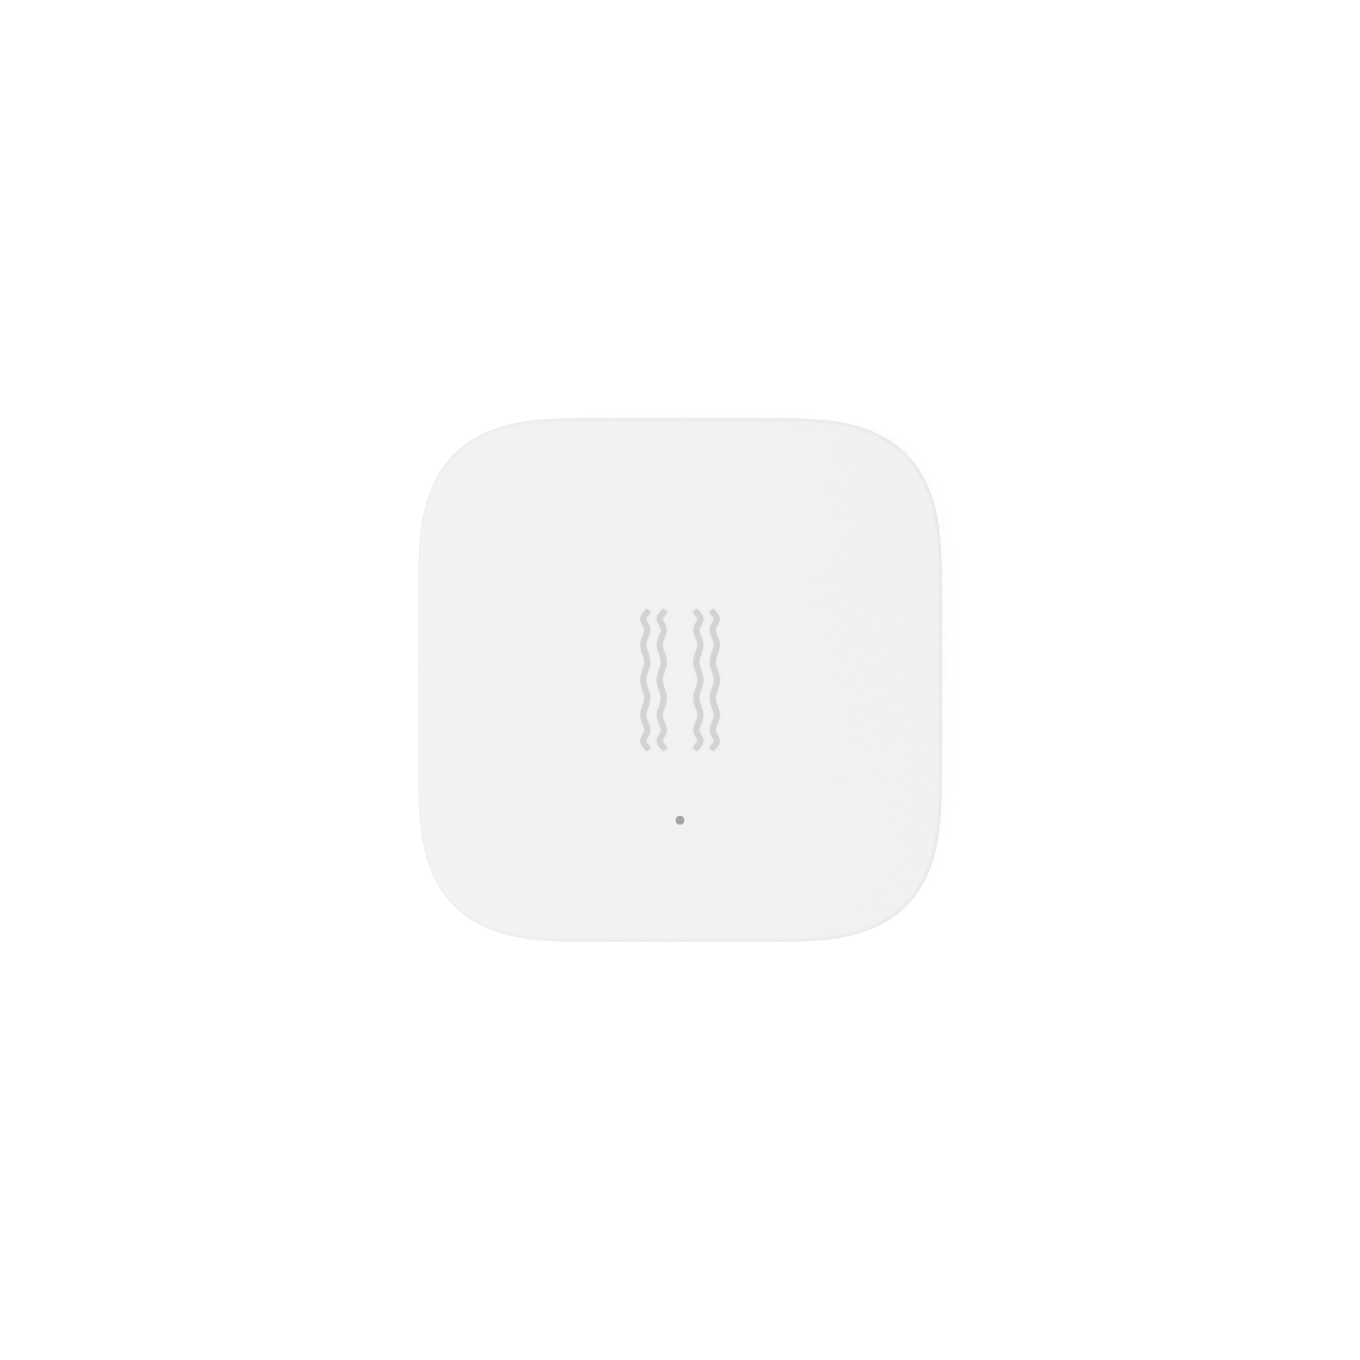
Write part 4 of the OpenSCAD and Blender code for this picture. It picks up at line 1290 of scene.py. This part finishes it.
# %% Screws
screw_low, screw_high = box_mm("board_screws")
head_h = board_z - screw_low.z
tip = screw_high.z - board_z
head_r = 1.2
shank_r = 0.65
root_r = shank_r - 0.12
thread_pitch = 0.4
thread = [(root_r, 0), (shank_r, 0.18), (shank_r, 0.22), (root_r, thread_pitch)]
recess_l = 1.3
recess_w = 0.35
recess_depth = 0.35
turn_per_mm = 20
screw_line = [
    (0, -head_h), (head_r - 0.3, -head_h), (head_r, -head_h + 0.2), (head_r, -0.03), (head_r - 0.03, 0),
    (shank_r - 0.1, 0),
]
z = 0.05
while z + thread_pitch < tip - 0.2:
    screw_line += [(r, z + rise) for r, rise in thread]
    z += thread_pitch
screw_line += [(shank_r - 0.15, tip - 0.12), (0.25, tip), (0, tip)]
bm = bmesh.new()
lathe(bm, screw_line, steps=32)
screw = make("screw", bm)
for length, width in ((recess_l, recess_w), (recess_w, recess_l)):
    blade = bmesh.new()
    low = (-length / 2, -width / 2, -head_h - 0.2)
    soft_box(blade, low, (length / 2, width / 2, -head_h + recess_depth), radius=0)
    cut(screw, blade)
turned_places = [(x, y, turn_per_mm * x) for x, y in screw_places]
screws = set_out("head_screws", turned_places, board_z, Body=(screw, screw_steel))
dress(screws, "screw_steel", "board_screws")

# %% Capacitors and resistors
capacitor_places = [
    (-9.6, 0, 90), (-8.6, -3, 90), (-7.4, -5.2, 0), (-1.4, -5.2, 0), (0.4, 1.4, 90), (0.4, 3.4, 90),
    (0.4, 5.4, 90), (5.2, 0.6, 0), (8, 3.2, 90),
]
resistor_places = [
    (2.6, -9.64, 90), (2.8, 7.6, 0), (4.6, 7.6, 0), (-6.6, 8.6, 0), (-4.8, 8.6, 0), (-3, 8.6, 0)
]
ceramic = moulded("ceramic_tan", (0.36, 0.24, 0.14), 0.5, tint_swing=0.25)
resistor_black = moulded("resistor_black", (0.03, 0.03, 0.033), 0.3, grain_scale=12000.0, tint_swing=0.3)
part_half = 0.5
side_half = 0.25
core_half = 0.3
end_start = 0.26
skin = 0.01


def boxes(name, *corners, radius=0.04):
    """Form made of one or more soft boxes."""
    bm = bmesh.new()
    for low, high in corners:
        soft_box(bm, low, high, radius)
    return make(name, bm)


for name, places, height, finish, slot, node in (
    ("ceramic_capacitor_row", capacitor_places, 0.5, ceramic, "capacitor_ceramic", "ceramic_capacitors"),
    ("chip_resistor_row", resistor_places, 0.35, resistor_black, "resistor_film", "chip_resistors"),
):
    core = ((-core_half, skin - side_half, skin), (core_half, side_half - skin, height - skin))
    left = ((-part_half, -side_half, 0), (-end_start, side_half, height))
    right = ((end_start, -side_half, 0), (part_half, side_half, height))
    body = boxes("body", core)
    ends = boxes("ends", left, right)
    row = set_out(name, places, board_top, Body=(body, finish), Ends=(ends, solder_tin))
    dress(row, slot, node)

# %% [markdown]
# ## Chips and crystals
# The radio chip and the motion sensor are black moulded packages with a dimple beside the first terminal
# and flat tinned terminals around the lower edge. The crystals are ceramic trays with a welded metal lid.

# %% Moulded packages
epoxy_black = (0.022, 0.022, 0.024)
chip_black = moulded("chip_black", epoxy_black, 0.52, grain_scale=14000.0, depth=0.006, tint_swing=0.25)
chip_dimple = [(0, -0.08), (0.15, -0.07), (0.25, 0), (0.3, 0.1), (0, 0.1)]
dimple_in = 0.7
side_in = 0.02
stand_off = 0.05
terminal_box = ((-0.3, -0.11, 0), (0, 0.11, 0.12))


def package(name, node, columns, rows, pitch):
    """Moulded package over a CAD block, with its dimple and a row of terminals on each side."""
    low, high = box_mm(node)
    inset = Vector((side_in, side_in, 0))
    piece = boxes(name, (low + inset + Vector((0, 0, stand_off)), high - inset), radius=0.05)
    dimple = bmesh.new()
    line = [(r, high.z + z) for r, z in chip_dimple]
    lathe(dimple, line, steps=32, centre=(low.x + dimple_in, high.y - dimple_in))
    cut(piece, dimple)
    dress(piece, "chip_epoxy", node, materials=[chip_black])
    middle = (low + high) / 2
    places = []
    for i in range(rows):
        y = middle.y + (i - (rows - 1) / 2) * pitch
        places += [(high.x, y, 0), (low.x, y, 180)]
    for i in range(columns):
        x = middle.x + (i - (columns - 1) / 2) * pitch
        places += [(x, high.y, 90), (x, low.y, 270)]
    terminal = boxes("terminal", terminal_box, radius=0.015)
    terminals = set_out(name + "_terminals", places, low.z, Body=(terminal, solder_tin))
    dress(terminals, "contact_nickel")


package("radio_chip", "radio_microcontroller", columns=12, rows=12, pitch=0.4)
package("motion_chip", "accelerometer", columns=3, rows=4, pitch=0.5)

# %% Crystals
tray_ceramic = moulded("tray_ceramic", (0.20, 0.18, 0.16), 0.6, tint_swing=0.15)
lid_metal = metal("lid_metal", (0.74, 0.72, 0.68), 0.3)
tray_share = 0.7
lid_in = 0.2
lid_sunk = 0.05
for name, node in (("radio_crystal_can", "radio_crystal"), ("clock_crystal_can", "clock_crystal")):
    low, high = box_mm(node)
    tray_top = low.z + tray_share * (high.z - low.z)
    bm = bmesh.new()
    soft_box(bm, low, (high.x, high.y, tray_top), radius=0.06)
    lid_low = (low.x + lid_in, low.y + lid_in, tray_top - lid_sunk)
    soft_box(bm, lid_low, (high.x - lid_in, high.y - lid_in, high.z), finish=1)
    dress(make(name, bm), "crystal_metal", node, materials=[tray_ceramic, lid_metal])

# %% [markdown]
# ## Indicator and bulk capacitor
# The indicator is a white base with a clear lens and two end terminals, right under the light pipe. The
# bulk capacitor is a yellow resin block with a band at its positive end and terminals folded around its
# ends.

# %% Indicator
led_white = moulded("led_white", (0.8, 0.8, 0.78), 0.5)
lens_clear = moulded("lens_clear", (0.72, 0.72, 0.66), 0.12, grain_scale=5000.0, tint_swing=0.05)
low, high = box_mm("indicator_led")
base_h = 0.2
lens_z = low.z + base_h
overlap = 0.02
lens_in = 0.3
lens_side_in = 0.05
end_w = 0.25
bm = bmesh.new()
soft_box(bm, low, (high.x, high.y, lens_z), radius=0.03)
lens_low = (low.x + lens_in, low.y + lens_side_in, lens_z - overlap)
lens_high = (high.x - lens_in, high.y - lens_side_in, high.z)
soft_box(bm, lens_low, lens_high, radius=0.12, steps=4, finish=1)
for x in (low.x, high.x - end_w):
    end_low = (x, low.y, lens_z - overlap / 2)
    soft_box(bm, end_low, (x + end_w, high.y, lens_z + overlap), radius=0.005, finish=2)
lamp = make("indicator_lamp", bm)
dress(lamp, "led_lens", "indicator_led", materials=[led_white, lens_clear, solder_tin])

# %% Bulk capacitor
resin_yellow = moulded("resin_yellow", (0.66, 0.40, 0.06), 0.45, tint_swing=0.12)
band_brown = moulded("band_brown", (0.18, 0.09, 0.03), 0.45, tint_swing=0.12)
low, high = box_mm("bulk_capacitor")
resin_in = 0.06
resin_side_in = 0.02
band_start = 0.35
band_w = 0.45
band_side_in = 0.01
band_drop = 0.05
tab_w = 0.6
tab_in = 0.25
tab_lift = 0.5
band_x = low.x + band_start
bm = bmesh.new()
resin_low = (low.x + resin_in, low.y + resin_side_in, low.z)
soft_box(bm, resin_low, (high.x - resin_in, high.y - resin_side_in, high.z - resin_in))
band_high = (band_x + band_w, high.y - band_side_in, high.z - band_drop)
soft_box(bm, (band_x, low.y + band_side_in, low.z), band_high, finish=1)
for x in (low.x, high.x - tab_w):
    tab_low = (x, low.y + tab_in, low.z + tab_lift)
    soft_box(bm, tab_low, (x + tab_w, high.y - tab_in, high.z), radius=0.05, finish=2)
bulk = make("bulk_block", bm)
dress(bulk, "bulk_resin", "bulk_capacitor", materials=[resin_yellow, band_brown, solder_tin])

# %% [markdown]
# ## Switch dome
# Behind the switch's plunger sits a bowed leaf of spring steel, which gives the click. It flattens when
# the button goes in. A rigid leaf would let the plunger cut through it. Here it is a piece of its own with
# its own copy of the mesh, and it rides on the housing without being squashed.

# %% Dome
dome_low, dome_high = box_mm("switch_dome")
dome_t = 0.08
dome_steps = 24
dome_rise = dome_high.y - dome_low.y - dome_t
rings = []
for i in range(dome_steps + 1):
    u = 2 * i / dome_steps - 1
    x = u * dome_high.x
    y = dome_low.y + dome_rise * (1 - u * u)
    corners = [(y, dome_low.z), (y + dome_t, dome_low.z), (y + dome_t, dome_high.z), (y, dome_high.z)]
    rings.append([(x, *corner) for corner in corners])
bm = bmesh.new()
sweep(bm, rings)
dome = make("snap_dome", bm)
dress(dome, "switch_steel", "switch_dome", materials=[contact_nickel])
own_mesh(dome)

# %% [markdown]
# ## Pieces that stay as they are
# The rest of the side switch and the antenna already have their real shapes in the CAD frame. Replacing
# them would add nothing, so they only get a finish, and a small bevel on the switch takes the razor edge
# off.

# %% Switch and antenna finishes
switch_plastic = moulded("switch_plastic", (0.03, 0.03, 0.032), 0.5, tint_swing=0.2)
plunger_grey = moulded("plunger_grey", (0.12, 0.12, 0.125), 0.45, tint_swing=0.1)
kept = [
    ("switch_body", switch_plastic, 0.04),
    ("switch_plate", solder_tin, 0.02),
    ("switch_plunger", plunger_grey, 0.05),
    ("antenna_trace", bare_copper, 0.0),
]
for name, finish, ease in kept:
    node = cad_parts[name]
    for holder in node.material_slots:
        holder.material = finish
    if ease:
        node.modifiers.new("weld", "WELD").merge_threshold = 1e-7
        bevel = node.modifiers.new("ease", "BEVEL")
        bevel.width = ease * MM
        bevel.segments = 2
        bevel.limit_method = "ANGLE"
print("kept:", [name for name, _, _ in kept])
